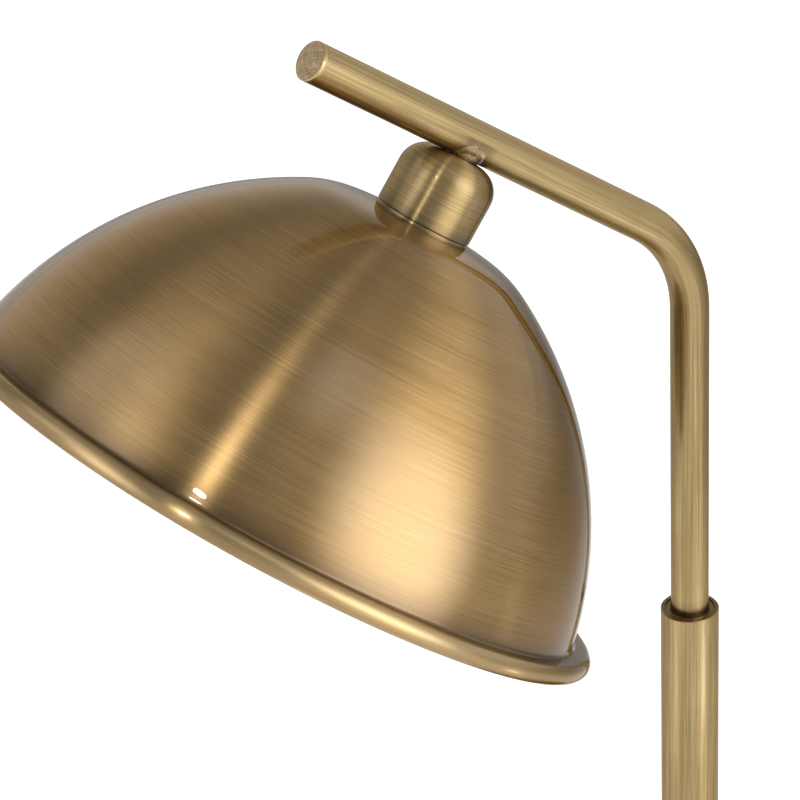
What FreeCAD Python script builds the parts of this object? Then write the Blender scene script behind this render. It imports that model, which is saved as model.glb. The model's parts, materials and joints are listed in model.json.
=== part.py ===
import FreeCAD, Part
import math
import os
import Sketcher
from types import SimpleNamespace

# A brass desk lamp: a round weighted base, a stem, and a turning arm that carries a dome shade with an LED
# lamp. Lengths are millimetres and angles are degrees. The origin is the centre of the base's underside, +Z
# is up, and the arm reaches out along -X.

vector = FreeCAD.Vector
doc = FreeCAD.newDocument("desk_lamp")
sheet = doc.addObject("Spreadsheet::Sheet", "Dimensions")

# Driving dimensions
DRIVING = {
    # arm and stem tubes
    "arm_radius": 6.5,
    "arm_wall": 1.2,
    "stem_radius": 10.0,
    "stem_wall": 1.5,
    "stem_top": 250.0,
    "corner_height": 140.0,
    "arm_tilt": 36.8,
    "bend_radius": 47.0,
    "bar_length": 172.6,
    "neck_reach": 104.0,
    "running_gap": 0.05,
    # turning joint inside the stem
    "journal_foot": 160.0,
    "journal_length": 25.0,
    "journal_spigot": 12.0,
    "stop_height": 172.3,
    "stop_screw_radius": 1.5,
    "stop_web_angle": 20.0,
    "stop_groove_depth": 2.0,
    "bush_length": 20.0,
    "bush_recess": 0.4,
    # neck and cap, measured down from the bar's centre line
    "cap_drop": 29.6,
    "cap_radius": 16.0,
    "cap_height": 23.0,
    "cap_round": 8.8,
    "cap_wall": 1.0,
    "groove_width": 0.4,
    "ring_height": 0.9,
    "nipple_radius": 5.0,
    "nipple_bore": 3.25,
    "thread_gap": 0.1,
    # shade
    "crown_radius": 198.0,
    "crown_angle": 7.6,
    "shoulder_radius": 38.0,
    "shoulder_angle": 27.4,
    "flank_radius": 129.35,
    "shade_depth": 97.7,
    "shade_wall": 0.9,
    "rim_radius": 113.5,
    "bead_radius": 3.2,
    "bead_fillet": 1.5,
    "liner_gap": 0.5,
    "liner_wall": 0.7,
    # lamp module inside the shade, depths measured down from the cap's foot
    "sink_top": 16.0,
    "sink_radius": 42.0,
    "sink_plate": 6.0,
    "sink_depth": 22.0,
    "sink_wall": 3.5,
    "fin_gap": 2.6,
    "fin_depth": 2.2,
    "fin_count": 36.0,
    "board_radius": 36.0,
    "board_thick": 1.6,
    "chip_side": 5.0,
    "chip_thick": 0.9,
    "board_screw_circle": 31.0,
    "diffuser_radius": 38.0,
    "diffuser_thick": 1.8,
    "diffuser_bulge": 3.5,
    "wire_radius": 1.6,
    "wire_bend": 4.3,
    # base
    "base_radius": 100.0,
    "base_top": 24.0,
    "base_flat": 80.0,
    "base_shoulder": 60.0,
    "base_edge": 7.0,
    "base_wall": 1.2,
    "pad_radius": 94.0,
    "pad_thick": 1.5,
    "plate_thick": 1.5,
    "plate_radius": 97.5,
    "weight_radius": 98.3,
    "weight_top": 16.0,
    "boss_radius": 20.0,
    "well_radius": 30.0,
    "well_top": 13.0,
    "channel_top": 10.0,
    "base_screw_circle": 80.0,
    "base_screw_radius": 1.75,
    "base_screw_head": 3.4,
    # button, driver and cord inlet in the base
    "button_place": 62.0,
    "button_radius": 9.0,
    "button_top": 26.6,
    "button_travel": 1.5,
    "bezel_radius": 12.5,
    "driver_near": 36.0,
    "driver_far": 64.0,
    "driver_half": 30.0,
    "inlet_height": 10.0,
    "inlet_bore": 3.3,
}


class Length:
    """A value, with the sheet expression that it comes from."""

    def __init__(self, value, text):
        self.value = value
        self.text = text

    def joined(self, sign, value, other):
        return Length(value, f"({self.text} {sign} {other.text})")

    def __add__(self, other):
        other = length(other)
        return self.joined("+", self.value + other.value, other)

    def __sub__(self, other):
        other = length(other)
        return self.joined("-", self.value - other.value, other)

    def __mul__(self, other):
        other = length(other)
        return self.joined("*", self.value * other.value, other)

    def __truediv__(self, other):
        other = length(other)
        return self.joined("/", self.value / other.value, other)

    def __radd__(self, other):
        return length(other) + self

    def __rsub__(self, other):
        return length(other) - self

    def __rmul__(self, other):
        return length(other) * self

    def __neg__(self):
        return Length(-self.value, f"(0 - {self.text})")


def length(value):
    """A plain number becomes a Length whose expression is the number itself."""
    return value if isinstance(value, Length) else Length(float(value), f"({float(value)!r})")


def root(value):
    return Length(math.sqrt(value.value), f"sqrt({value.text})")


def sine(angle):
    return Length(math.sin(math.radians(angle.value)), f"sin({angle.text})")


def cosine(angle):
    return Length(math.cos(math.radians(angle.value)), f"cos({angle.text})")


sizes = {}
for row, (alias, number) in enumerate(DRIVING.items(), start=1):
    sheet.set(f"A{row}", alias)
    sheet.set(f"B{row}", str(number))
    sheet.setAlias(f"B{row}", alias)
    sizes[alias] = Length(number, f"Dimensions.{alias}")
mm = SimpleNamespace(**sizes)
doc.recompute()

pieces = []


# Sketching and placing helpers


def bind(owner, place, size):
    """Drives one property or constraint of an object by a size's expression."""
    owner.setExpression(place, size.text)


def new_body(name):
    """A body for one sub-part, named as the piece is."""
    body = doc.addObject("PartDesign::Body", name)
    body.Label = name
    pieces.append(body)
    return body


def new_sketch(body, name, role="XZ_Plane", offset=None):
    """A sketch on one of the body's own origin planes, moved along its normal where an offset is given."""
    plane = next(item for item in body.Origin.OriginFeatures if item.Role == role)
    sketch = body.newObject("Sketcher::SketchObject", name)
    sketch.AttachmentSupport = [(plane, "")]
    sketch.MapMode = "FlatFace"
    if offset is not None:
        bind(sketch, "AttachmentOffset.Base.z", length(offset))
    return sketch


def pin_point(sketch, geometry, point, x, y):
    """Holds one point of the sketch at x, y."""
    across = sketch.addConstraint(Sketcher.Constraint("DistanceX", geometry, point, x.value))
    up = sketch.addConstraint(Sketcher.Constraint("DistanceY", geometry, point, y.value))
    bind(sketch, f"Constraints[{across}]", x)
    bind(sketch, f"Constraints[{up}]", y)


def arc_between(start, end, radius, side):
    """The arc of under half a turn from start to end, with its centre on the given side of the way there."""
    middle = (start + end) / 2
    way = end - start
    left = vector(-way.y, way.x, 0) / way.Length
    reach = math.sqrt(radius**2 - (way.Length / 2) ** 2)
    centre = middle + left * (reach if side == "left" else -reach)
    first, last = (start, end) if side == "left" else (end, start)
    begin = math.atan2(first.y - centre.y, first.x - centre.x)
    finish = math.atan2(last.y - centre.y, last.x - centre.x)
    if finish < begin:
        finish += 2 * math.pi
    return Part.ArcOfCircle(Part.Circle(centre, vector(0, 0, 1), radius), begin, finish)


def draw_outline(sketch, outline):
    """Closes a chain of lines and arcs. A corner is (x, y), or (x, y, radius, side) if an arc leaves it."""
    corners = [(length(corner[0]), length(corner[1]), *corner[2:]) for corner in outline]
    edges = []
    for here, after in zip(corners, corners[1:] + corners[:1]):
        start = vector(here[0].value, here[1].value, 0)
        end = vector(after[0].value, after[1].value, 0)
        if len(here) == 2:
            edge = sketch.addGeometry(Part.LineSegment(start, end), False)
            edges.append((edge, 1, 2))
        else:
            edge = sketch.addGeometry(arc_between(start, end, here[2].value, here[3]), False)
            edges.append((edge, 1, 2) if here[3] == "left" else (edge, 2, 1))
    for (edge, _, tail), (following, head, _) in zip(edges, edges[1:] + edges[:1]):
        sketch.addConstraint(Sketcher.Constraint("Coincident", edge, tail, following, head))
    for (edge, head, _), corner in zip(edges, corners):
        pin_point(sketch, edge, head, corner[0], corner[1])
        if len(corner) > 2:
            bend = sketch.addConstraint(Sketcher.Constraint("Radius", edge, corner[2].value))
            bind(sketch, f"Constraints[{bend}]", corner[2])


def draw_circle(sketch, x, y, radius):
    """One full circle."""
    x, y, radius = length(x), length(y), length(radius)
    circle = Part.Circle(vector(x.value, y.value, 0), vector(0, 0, 1), radius.value)
    edge = sketch.addGeometry(circle, False)
    pin_point(sketch, edge, 3, x, y)
    size = sketch.addConstraint(Sketcher.Constraint("Radius", edge, radius.value))
    bind(sketch, f"Constraints[{size}]", radius)


def draw_block(sketch, low_x, high_x, low_y, high_y):
    """One rectangle."""
    draw_outline(sketch, [(low_x, low_y), (high_x, low_y), (high_x, high_y), (low_x, high_y)])


def draw_axis(sketch, x):
    """An upright construction line at x, as the axis of a turned feature. Returns its reference."""
    line = Part.LineSegment(vector(x.value, -1, 0), vector(x.value, 1, 0))
    edge = sketch.addGeometry(line, True)
    pin_point(sketch, edge, 1, x, length(-1))
    pin_point(sketch, edge, 2, x, length(1))
    return (sketch, ["Axis0"])


def turn(body, name, outline, axis_x=None):
    """Adds an outline turned full circle about the body's Z axis, or about the upright line at axis_x."""
    sketch = new_sketch(body, f"{name}_outline")
    draw_outline(sketch, outline)
    axis = (sketch, ["V_Axis"]) if axis_x is None else draw_axis(sketch, axis_x)
    feature = body.newObject("PartDesign::Revolution", f"{name}_turn")
    feature.Profile = sketch
    feature.ReferenceAxis = axis
    feature.Angle = 360
    return feature


def turn_away(body, name, outline, angle, axis_x=None):
    """Cuts an outline turned about the body's Z axis, or about the upright line at axis_x."""
    sketch = new_sketch(body, f"{name}_outline")
    draw_outline(sketch, outline)
    axis = (sketch, ["V_Axis"]) if axis_x is None else draw_axis(sketch, axis_x)
    feature = body.newObject("PartDesign::Groove", f"{name}_groove")
    feature.Profile = sketch
    feature.ReferenceAxis = axis
    feature.Midplane = True
    bind(feature, "Angle", length(angle))
    return feature


def pad(body, name, draw, height, role="XY_Plane", offset=None):
    """Adds a drawn outline raised by height along its plane's normal."""
    sketch = new_sketch(body, f"{name}_outline", role, offset)
    draw(sketch)
    feature = body.newObject("PartDesign::Pad", f"{name}_pad")
    feature.Profile = sketch
    bind(feature, "Length", length(height))
    return feature


def pocket(body, name, draw, depth=None, role="XY_Plane", offset=None, along_normal=True):
    """Cuts a drawn outline, through everything both ways where no depth is given."""
    sketch = new_sketch(body, f"{name}_outline", role, offset)
    draw(sketch)
    feature = body.newObject("PartDesign::Pocket", f"{name}_pocket")
    feature.Profile = sketch
    if depth is None:
        feature.Type = 1
        feature.Midplane = True
    else:
        feature.Reversed = along_normal
        bind(feature, "Length", length(depth))
    return feature


def around(body, name, features, count):
    """Repeats features round the body's Z axis."""
    pattern = body.newObject("PartDesign::PolarPattern", f"{name}_pattern")
    pattern.Originals = features
    pattern.Axis = (next(item for item in body.Origin.OriginFeatures if item.Role == "Z_Axis"), [""])
    pattern.Angle = 360
    bind(pattern, "Occurrences", length(count))
    body.Tip = pattern
    return pattern


def place(body, x=0, y=0, z=0, axis=vector(0, 0, 1), angle=0):
    """Puts a body in the lamp: its own origin at x, y, z, turned about axis."""
    x, y, z, angle = length(x), length(y), length(z), length(angle)
    here = vector(x.value, y.value, z.value)
    body.Placement = FreeCAD.Placement(here, FreeCAD.Rotation(axis, angle.value))
    for place_name, size in (("Base.x", x), ("Base.y", y), ("Base.z", z), ("Rotation.Angle", angle)):
        if size.text != "(0.0)":
            bind(body, f"Placement.{place_name}", size)
    return body


def ring(name, inner, outer, low, high):
    """A plain turned ring or disc."""
    body = new_body(name)
    turn(body, name, [(inner, low), (outer, low), (outer, high), (inner, high)])
    return body


def hexagon(sketch, across_flats):
    """A hexagon about the sketch's origin."""
    corner = across_flats / root(length(3))
    turns = [length(60 * step) for step in range(6)]
    draw_outline(sketch, [(corner * cosine(angle), corner * sine(angle)) for angle in turns])


# The head's own frame: its origin is where the cap's axis crosses the bar's centre line, its Z axis runs up
# the cap's axis and its X axis runs along the bar towards the bend.
corner_z = mm.stem_top + mm.corner_height
head_x = -(mm.neck_reach * cosine(mm.arm_tilt))
head_z = corner_z + mm.neck_reach * sine(mm.arm_tilt)
SIDEWAYS = vector(0, 1, 0)


def place_on_head(body):
    return place(body, x=head_x, z=head_z, axis=SIDEWAYS, angle=mm.arm_tilt)


# Base: pad, plate and weight


def base_pad():
    return place(ring("base_pad", 0, mm.pad_radius, 0, mm.pad_thick))


def base_screw_outline(clearance):
    """A countersunk screw's section beside the upright line through its circle."""
    middle = mm.base_screw_circle
    head = middle + mm.base_screw_head + clearance
    shank = middle + mm.base_screw_radius + clearance
    return middle, head, shank


def base_plate():
    body = new_body("base_plate")
    edge, thick = mm.plate_radius, mm.plate_thick
    turn(body, "plate", [(0, 0), (edge, 0), (edge, thick), (0, thick)])
    middle, head, shank = base_screw_outline(0.1)
    sink = [(middle, 0), (head, 0), (shank, mm.plate_thick), (middle, mm.plate_thick)]
    hole = turn_away(body, "countersink", sink, 360, middle)
    around(body, "countersinks", [hole], 4)
    return place(body, z=mm.pad_thick, angle=45)


def base_screws():
    body = new_body("base_screws")
    body.AllowCompound = True
    middle, head, shank = base_screw_outline(0)
    section = [(middle, 0), (head, 0), (shank, mm.plate_thick), (shank, 11), (middle, 12.5)]
    screw = turn(body, "screw", section, middle)
    around(body, "screws", [screw], 4)
    return place(body, z=mm.pad_thick, angle=45)


def base_weight():
    body = new_body("base_weight")
    foot = mm.pad_thick + mm.plate_thick
    bore = mm.nipple_radius + 0.3
    boss_top = mm.base_top - mm.base_wall
    turn(
        body,
        "casting",
        [
            (bore, mm.well_top),
            (mm.well_radius, mm.well_top),
            (mm.well_radius, foot),
            (mm.weight_radius, foot),
            (mm.weight_radius, mm.weight_top - 2),
            (mm.weight_radius - 2, mm.weight_top),
            (mm.boss_radius, mm.weight_top),
            (mm.boss_radius, boss_top),
            (bore, boss_top),
        ],
    )

    def rooms(sketch):
        draw_block(sketch, -11, 11, -(mm.button_place + 11), -(mm.button_place - 11))
        near, far, half = mm.driver_near - 2, mm.driver_far + 2, mm.driver_half + 3
        room = [(-half, near), (half, near), (half, far), (13, far)]
        way_out = [(13, 110), (-13, 110), (-13, far), (-half, far)]
        draw_outline(sketch, room + way_out)

    def channel(sketch):
        draw_block(sketch, -8, 8, -(mm.button_place - 10), mm.driver_near)

    def screw_hole(sketch):
        across = mm.base_screw_circle * cosine(length(45))
        draw_circle(sketch, across, across, mm.base_screw_radius)

    pocket(body, "rooms", rooms)
    pocket(body, "channel", channel, mm.channel_top - foot, offset=foot)
    hole = pocket(body, "screw_hole", screw_hole, 11, offset=foot)
    around(body, "screw_holes", [hole], 4)
    return place(body)


# Base cover: one spun sheet with a flat top, a soft shoulder and a rounded edge


def cover_side(inset):
    """The cover's outline points from the flat top down to the rim, moved inwards by inset."""
    big, small = mm.base_shoulder - inset, mm.base_edge - inset
    edge_x = mm.base_radius - mm.base_edge
    span = edge_x - mm.base_flat
    apart = mm.base_shoulder - mm.base_edge
    drop = root(apart * apart - span * span)
    shoulder_z = mm.base_top - mm.base_shoulder
    touch = (mm.base_flat + big * span / apart, shoulder_z + big * drop / apart)
    return {
        "flat": (mm.base_flat, mm.base_top - inset),
        "touch": touch,
        "edge": (mm.base_radius - inset, shoulder_z + drop),
        "foot": (mm.base_radius - inset, mm.pad_thick + 0.3),
        "big": big,
        "small": small,
    }


def base_cover():
    body = new_body("base_cover")
    outer, inner = cover_side(length(0)), cover_side(mm.base_wall)
    bore = mm.nipple_radius + 0.3
    turn(
        body,
        "cover",
        [
            (bore, mm.base_top),
            (*outer["flat"], outer["big"], "right"),
            (*outer["touch"], outer["small"], "right"),
            outer["edge"],
            outer["foot"],
            inner["foot"],
            (*inner["edge"], inner["small"], "left"),
            (*inner["touch"], inner["big"], "left"),
            inner["flat"],
            (bore, mm.base_top - mm.base_wall),
        ],
    )
    pocket(body, "button_hole", lambda sketch: draw_circle(sketch, 0, -mm.button_place, 11.2))

    def inlet_hole(sketch):
        draw_circle(sketch, 0, mm.inlet_height, 5.1)

    pocket(body, "inlet_hole", inlet_hole, 20, "XZ_Plane", -90, along_normal=False)
    return place(body)


# Stem: flange, threaded nipple with washer and nut, plug and tube


def stem_parts():
    flange = new_body("stem_flange")
    bore, rim, height, round_over = mm.stem_radius + 0.05, mm.stem_radius + 9, 7, length(5)
    turn(
        flange,
        "flange",
        [(bore, 0), (rim, 0), (rim, 2, round_over, "left"), (rim - round_over, height), (bore, height)],
    )
    place(flange, z=mm.base_top)

    place(ring("stem_plug", mm.nipple_radius, mm.stem_radius - mm.stem_wall, 0, 22), z=mm.base_top)
    place(ring("stem_nipple", 3.5, mm.nipple_radius, 0, 36), z=8)
    place(ring("stem_washer", mm.nipple_radius + mm.thread_gap, 13, 0, 1.2), z=mm.well_top - 1.2)

    nut = new_body("stem_nut")
    pad(nut, "nut", lambda sketch: hexagon(sketch, length(16)), 3.5)
    pocket(nut, "nut_bore", lambda sketch: draw_circle(sketch, 0, 0, mm.nipple_radius))
    place(nut, z=mm.well_top - 1.2 - 3.5)

    tube = new_body("stem_tube")
    inner, outer, top = mm.stem_radius - mm.stem_wall, mm.stem_radius, mm.stem_top - mm.base_top
    edge = 0.3
    turn(tube, "tube", [(inner, 0), (outer, 0), (outer, top - edge), (outer - edge, top), (inner, top)])
    stop_hole(tube, mm.stop_height - mm.base_top)
    place(tube, z=mm.base_top)


def stop_hole(body, height):
    """The stop screw's hole, drilled from the centre out through the rear wall."""
    pocket(
        body,
        "stop_hole",
        lambda sketch: draw_circle(sketch, 0, height, mm.stop_screw_radius),
        20,
        "XZ_Plane",
        along_normal=False,
    )


# Turning joint: two bushes and a thrust washer in the stem, and a grooved journal on the arm


def joint_parts():
    seat = mm.stem_radius - mm.stem_wall
    bore = mm.arm_radius + mm.running_gap
    top_bush = ring("top_bush", bore, seat, 0, mm.bush_length)
    place(top_bush, z=mm.stem_top - mm.bush_recess - mm.bush_length)

    floor = mm.journal_foot - 3
    lower = new_body("lower_bush")
    turn(
        lower,
        "bush",
        [(4.5, 0), (seat, 0), (seat, 25), (bore, 25), (bore, 1.8), (4.5, 1.8)],
    )
    stop_hole(lower, mm.stop_height - floor)
    place(lower, z=floor)
    washer = ring("thrust_washer", 4, mm.arm_radius - 0.1, 0, 1.2 - mm.running_gap)
    place(washer, z=mm.journal_foot - 1.2)

    screw = new_body("stop_screw")
    tip, face = mm.arm_radius - mm.stop_groove_depth + 0.4, mm.stem_radius - 0.2
    side = mm.stop_screw_radius
    turn(screw, "screw", [(0, tip), (side, tip), (side, face), (0, face)])
    pocket(screw, "hex_socket", lambda sketch: hexagon(sketch, length(1.5)), 1.2, offset=mm.stem_radius - 1.4)
    place(screw, z=mm.stop_height, axis=vector(1, 0, 0), angle=-90)

    journal = new_body("arm_journal")
    bore = length(2.6)
    inner = mm.arm_radius - mm.arm_wall
    outer = mm.arm_radius
    shoulder, end = mm.journal_length, mm.journal_length + mm.journal_spigot
    spigot = [(inner, shoulder), (inner, end), (bore, end)]
    turn(journal, "journal", [(bore, 0), (outer, 0), (outer, shoulder), *spigot])
    middle = mm.stop_height - mm.journal_foot
    half = mm.stop_screw_radius + 0.3
    floor_radius = mm.arm_radius - mm.stop_groove_depth
    section = [
        (floor_radius, middle - half),
        (mm.arm_radius + 1, middle - half),
        (mm.arm_radius + 1, middle + half),
        (floor_radius, middle + half),
    ]
    turn_away(journal, "stop_groove", section, 360 - mm.stop_web_angle)
    place(journal, z=mm.journal_foot, angle=90)


# Arm: one bent tube, drawn in the head's frame


def draw_route(sketch, corners, bends):
    """An open path of straight runs and tangent arcs, with pinned corners and a radius at each bend."""
    points = [vector(x.value, y.value, 0) for x, y in corners]
    ways = [(after - here).normalize() for here, after in zip(points, points[1:])]
    trims = [0.0]
    for before, after, bend in zip(ways, ways[1:], bends):
        trims.append(bend.value * math.tan(before.getAngle(after) / 2))
    trims.append(0.0)
    runs = []
    for index, way in enumerate(ways):
        start = points[index] + way * trims[index]
        end = points[index + 1] - way * trims[index + 1]
        runs.append(sketch.addGeometry(Part.LineSegment(start, end), False))
    for index, bend in enumerate(bends):
        corner = points[index + 1]
        start = corner - ways[index] * trims[index + 1]
        end = corner + ways[index + 1] * trims[index + 1]
        side = "left" if ways[index].cross(ways[index + 1]).z > 0 else "right"
        arc = sketch.addGeometry(arc_between(start, end, bend.value, side), False)
        head, tail = (1, 2) if side == "left" else (2, 1)
        mark = sketch.addGeometry(Part.Point(corner), True)
        pin_point(sketch, mark, 1, *corners[index + 1])
        sketch.addConstraint(Sketcher.Constraint("PointOnObject", mark, 1, runs[index]))
        sketch.addConstraint(Sketcher.Constraint("PointOnObject", mark, 1, runs[index + 1]))
        sketch.addConstraint(Sketcher.Constraint("Tangent", runs[index], 2, arc, head))
        sketch.addConstraint(Sketcher.Constraint("Tangent", arc, tail, runs[index + 1], 1))
        size = sketch.addConstraint(Sketcher.Constraint("Radius", arc, bend.value))
        bind(sketch, f"Constraints[{size}]", bend)
    pin_point(sketch, runs[0], 1, *corners[0])
    pin_point(sketch, runs[-1], 2, *corners[-1])


def pipe(body, name, corners, bends, draw_section, role, offset):
    """A drawn section swept along a route in the body's XZ plane."""
    path = new_sketch(body, f"{name}_path")
    draw_route(path, corners, bends)
    section = new_sketch(body, f"{name}_section", role, offset)
    draw_section(section)
    feature = body.newObject("PartDesign::AdditivePipe", f"{name}_pipe")
    feature.Profile = section
    feature.Spine = path
    return feature


def down_the_stem(level):
    """The point of the upright tube's centre line at a height above the desk, in the head's frame."""
    drop = corner_z - level
    return mm.neck_reach + drop * sine(mm.arm_tilt), -(drop * cosine(mm.arm_tilt))


def arm_parts():
    tube = new_body("arm_tube")
    inner = mm.arm_radius - mm.arm_wall
    plug_disc = length(1.6)
    free_end = -(mm.bar_length - mm.neck_reach) + plug_disc
    foot = down_the_stem(mm.journal_foot + mm.journal_length)
    corners = [(free_end, length(0)), (mm.neck_reach, length(0)), foot]

    def tube_section(sketch):
        draw_circle(sketch, 0, 0, mm.arm_radius)
        draw_circle(sketch, 0, 0, inner)

    pipe(tube, "tube", corners, [mm.bend_radius], tube_section, "YZ_Plane", free_end)
    pocket(
        tube,
        "nipple_hole",
        lambda sketch: draw_circle(sketch, 0, 0, mm.nipple_radius),
        mm.arm_radius + 1,
        along_normal=False,
    )
    place_on_head(tube)

    plug = new_body("arm_end_plug")
    edge = 0.35
    turn(
        plug,
        "plug",
        [
            (0, -8),
            (inner, -8),
            (inner, 0),
            (mm.arm_radius, 0),
            (mm.arm_radius, plug_disc - edge),
            (mm.arm_radius - edge, plug_disc),
            (0, plug_disc),
        ],
    )
    end_x = head_x + free_end * cosine(mm.arm_tilt)
    end_z = head_z - free_end * sine(mm.arm_tilt)
    place(plug, x=end_x, z=end_z, axis=SIDEWAYS, angle=mm.arm_tilt - 90)


# Neck, cap and ring


def neck():
    body = new_body("neck")
    cap_top = -(mm.cap_drop - mm.cap_height)
    flare = mm.nipple_radius + 0.9
    turn(
        body,
        "braze",
        [(0, cap_top), (mm.nipple_radius + 0.2, cap_top), (flare, cap_top + 3.5), (flare, 0), (0, 0)],
    )
    pocket(body, "bar_seat", lambda sketch: draw_circle(sketch, 0, 0, mm.arm_radius), role="YZ_Plane")
    foot = -(mm.cap_drop + mm.sink_top + 5.5)
    turn(
        body,
        "nipple",
        [
            (mm.nipple_bore, foot),
            (mm.nipple_radius, foot),
            (mm.nipple_radius, cap_top + 2.2),
            (mm.nipple_bore, cap_top + 2.2),
        ],
    )
    pocket(body, "wire_way", lambda sketch: draw_circle(sketch, 0, 0, mm.nipple_bore))
    return place_on_head(body)


def crown_rise(radius, sphere):
    """How far a sphere's surface falls from its pole at a distance from its axis."""
    return sphere - root(sphere * sphere - radius * radius)


# Depth of the crown's pole below the cap's foot, so that the ring's foot lies on the crown.
pole = mm.ring_height - crown_rise(mm.cap_radius, mm.crown_radius)


def cap_parts():
    cap = new_body("cap")
    hole = mm.nipple_radius + mm.thread_gap
    foot = -mm.cap_drop + mm.groove_width / 2
    top = -(mm.cap_drop - mm.cap_height)
    inner = mm.cap_radius - mm.cap_wall
    round_inside = mm.cap_round - mm.cap_wall
    flat = mm.cap_radius - mm.cap_round
    turn(
        cap,
        "cap",
        [
            (mm.cap_radius, foot),
            (mm.cap_radius, top - mm.cap_round, mm.cap_round, "left"),
            (flat, top),
            (hole, top),
            (hole, top - mm.cap_wall),
            (flat, top - mm.cap_wall, round_inside, "right"),
            (inner, top - mm.cap_round),
            (inner, foot),
        ],
    )
    place_on_head(cap)

    ring_body = new_body("cap_ring")
    ledge = -mm.cap_drop - mm.groove_width / 2
    inside = mm.cap_radius - 4
    turn(
        ring_body,
        "ring",
        [
            (mm.cap_radius, -(mm.cap_drop + mm.ring_height)),
            (mm.cap_radius, ledge),
            (mm.cap_radius - 0.7, ledge),
            (mm.cap_radius - 0.7, foot),
            (inner - 0.05, foot),
            (inner - 0.05, foot + 2),
            (inside, foot + 2),
            (inside, -(mm.cap_drop + pole + crown_rise(inside, mm.crown_radius)), mm.crown_radius, "right"),
        ],
    )
    place_on_head(ring_body)


# Shade and white liner: a flat crown centred on the axis, a tighter shoulder and a long flank, each tangent
# to the one before it


def dome_arcs(inset):
    """The dome's three arcs at a distance inside its outer surface: radii, centres and the joints between."""
    top, turn_over = mm.crown_angle, mm.shoulder_angle
    crown_z = -(mm.cap_drop + pole + mm.crown_radius)
    step = mm.crown_radius - mm.shoulder_radius
    shoulder_at = (step * sine(top), crown_z + step * cosine(top))
    back = mm.shoulder_radius - mm.flank_radius
    flank_at = (shoulder_at[0] + back * sine(turn_over), shoulder_at[1] + back * cosine(turn_over))
    crown, shoulder, flank = mm.crown_radius - inset, mm.shoulder_radius - inset, mm.flank_radius - inset
    return SimpleNamespace(
        crown=crown,
        shoulder=shoulder,
        flank=flank,
        crown_z=crown_z,
        flank_at=flank_at,
        upper=(crown * sine(top), crown_z + crown * cosine(top)),
        lower=(flank_at[0] + flank * sine(turn_over), flank_at[1] + flank * cosine(turn_over)),
    )


def crown_point(dome, radius):
    """A point of the crown at a distance from the axis."""
    return radius, dome.crown_z + root(dome.crown * dome.crown - radius * radius)


def flank_point(dome, level):
    """A point of the flank at a height."""
    fall = level - dome.flank_at[1]
    return dome.flank_at[0] + root(dome.flank * dome.flank - fall * fall), level


def shade():
    body = new_body("shade")
    hole = mm.nipple_radius + mm.thread_gap
    outer, inner = dome_arcs(length(0)), dome_arcs(mm.shade_wall)
    bead_x, bead_z = mm.rim_radius - mm.bead_radius, -(mm.cap_drop + mm.shade_depth)
    bead_top = bead_z + mm.bead_radius
    tube_inner = mm.bead_radius - mm.shade_wall
    diagonal = cosine(length(45))

    # The fillet between flank and rim touches both walls of the sheet.
    centre_x, centre_z = outer.flank_at
    reach = mm.flank_radius + mm.bead_fillet
    fillet_z = bead_top + mm.bead_fillet
    fillet_x = centre_x + root(reach * reach - (fillet_z - centre_z) * (fillet_z - centre_z))

    def fillet_start(radius):
        part = radius / reach
        return centre_x + (fillet_x - centre_x) * part, centre_z + (fillet_z - centre_z) * part

    turn(
        body,
        "spinning",
        [
            (*crown_point(outer, hole), outer.crown, "right"),
            (*outer.upper, outer.shoulder, "right"),
            (*outer.lower, outer.flank, "right"),
            (*fillet_start(outer.flank), mm.bead_fillet, "left"),
            (fillet_x, bead_top),
            (bead_x, bead_top, mm.bead_radius, "right"),
            (bead_x + mm.bead_radius * diagonal, bead_z - mm.bead_radius * diagonal, mm.bead_radius, "right"),
            (bead_x - mm.bead_radius, bead_z),
            (bead_x - tube_inner, bead_z, tube_inner, "left"),
            (bead_x + tube_inner * diagonal, bead_z - tube_inner * diagonal, tube_inner, "left"),
            (bead_x, bead_top - mm.shade_wall),
            (fillet_x, bead_top - mm.shade_wall, mm.bead_fillet + mm.shade_wall, "right"),
            (*fillet_start(inner.flank), inner.flank, "left"),
            (*inner.lower, inner.shoulder, "left"),
            (*inner.upper, inner.crown, "left"),
            crown_point(inner, hole),
        ],
    )
    return place_on_head(body)


def liner_parts():
    liner = new_body("inner_reflector")
    hole = mm.nipple_radius + mm.thread_gap
    outer = dome_arcs(mm.shade_wall + mm.liner_gap)
    inner = dome_arcs(mm.shade_wall + mm.liner_gap + mm.liner_wall)
    edge = -(mm.cap_drop + mm.shade_depth) + mm.bead_radius + 4
    turn(
        liner,
        "reflector",
        [
            (*crown_point(outer, hole), outer.crown, "right"),
            (*outer.upper, outer.shoulder, "right"),
            (*outer.lower, outer.flank, "right"),
            flank_point(outer, edge),
            (*flank_point(inner, edge), inner.flank, "left"),
            (*inner.lower, inner.shoulder, "left"),
            (*inner.upper, inner.crown, "left"),
            crown_point(inner, hole),
        ],
    )
    place_on_head(liner)

    washer = new_body("crown_washer")
    above, rim = dome_arcs(mm.shade_wall), length(11)
    turn(
        washer,
        "washer",
        [
            (*crown_point(above, hole), above.crown, "right"),
            crown_point(above, rim),
            (*crown_point(outer, rim), outer.crown, "left"),
            crown_point(outer, hole),
        ],
    )
    place_on_head(washer)

    spacer = new_body("spacer")
    thick = length(8.5)
    foot = -(mm.cap_drop + mm.sink_top)
    top = crown_point(inner, thick)[1]
    turn(spacer, "spacer", [(hole, foot), (thick, foot), (thick, top), (hole, top)])
    place_on_head(spacer)


# Lamp module: finned heat sink, washer and nut, LED board, diffuser and its ring


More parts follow.
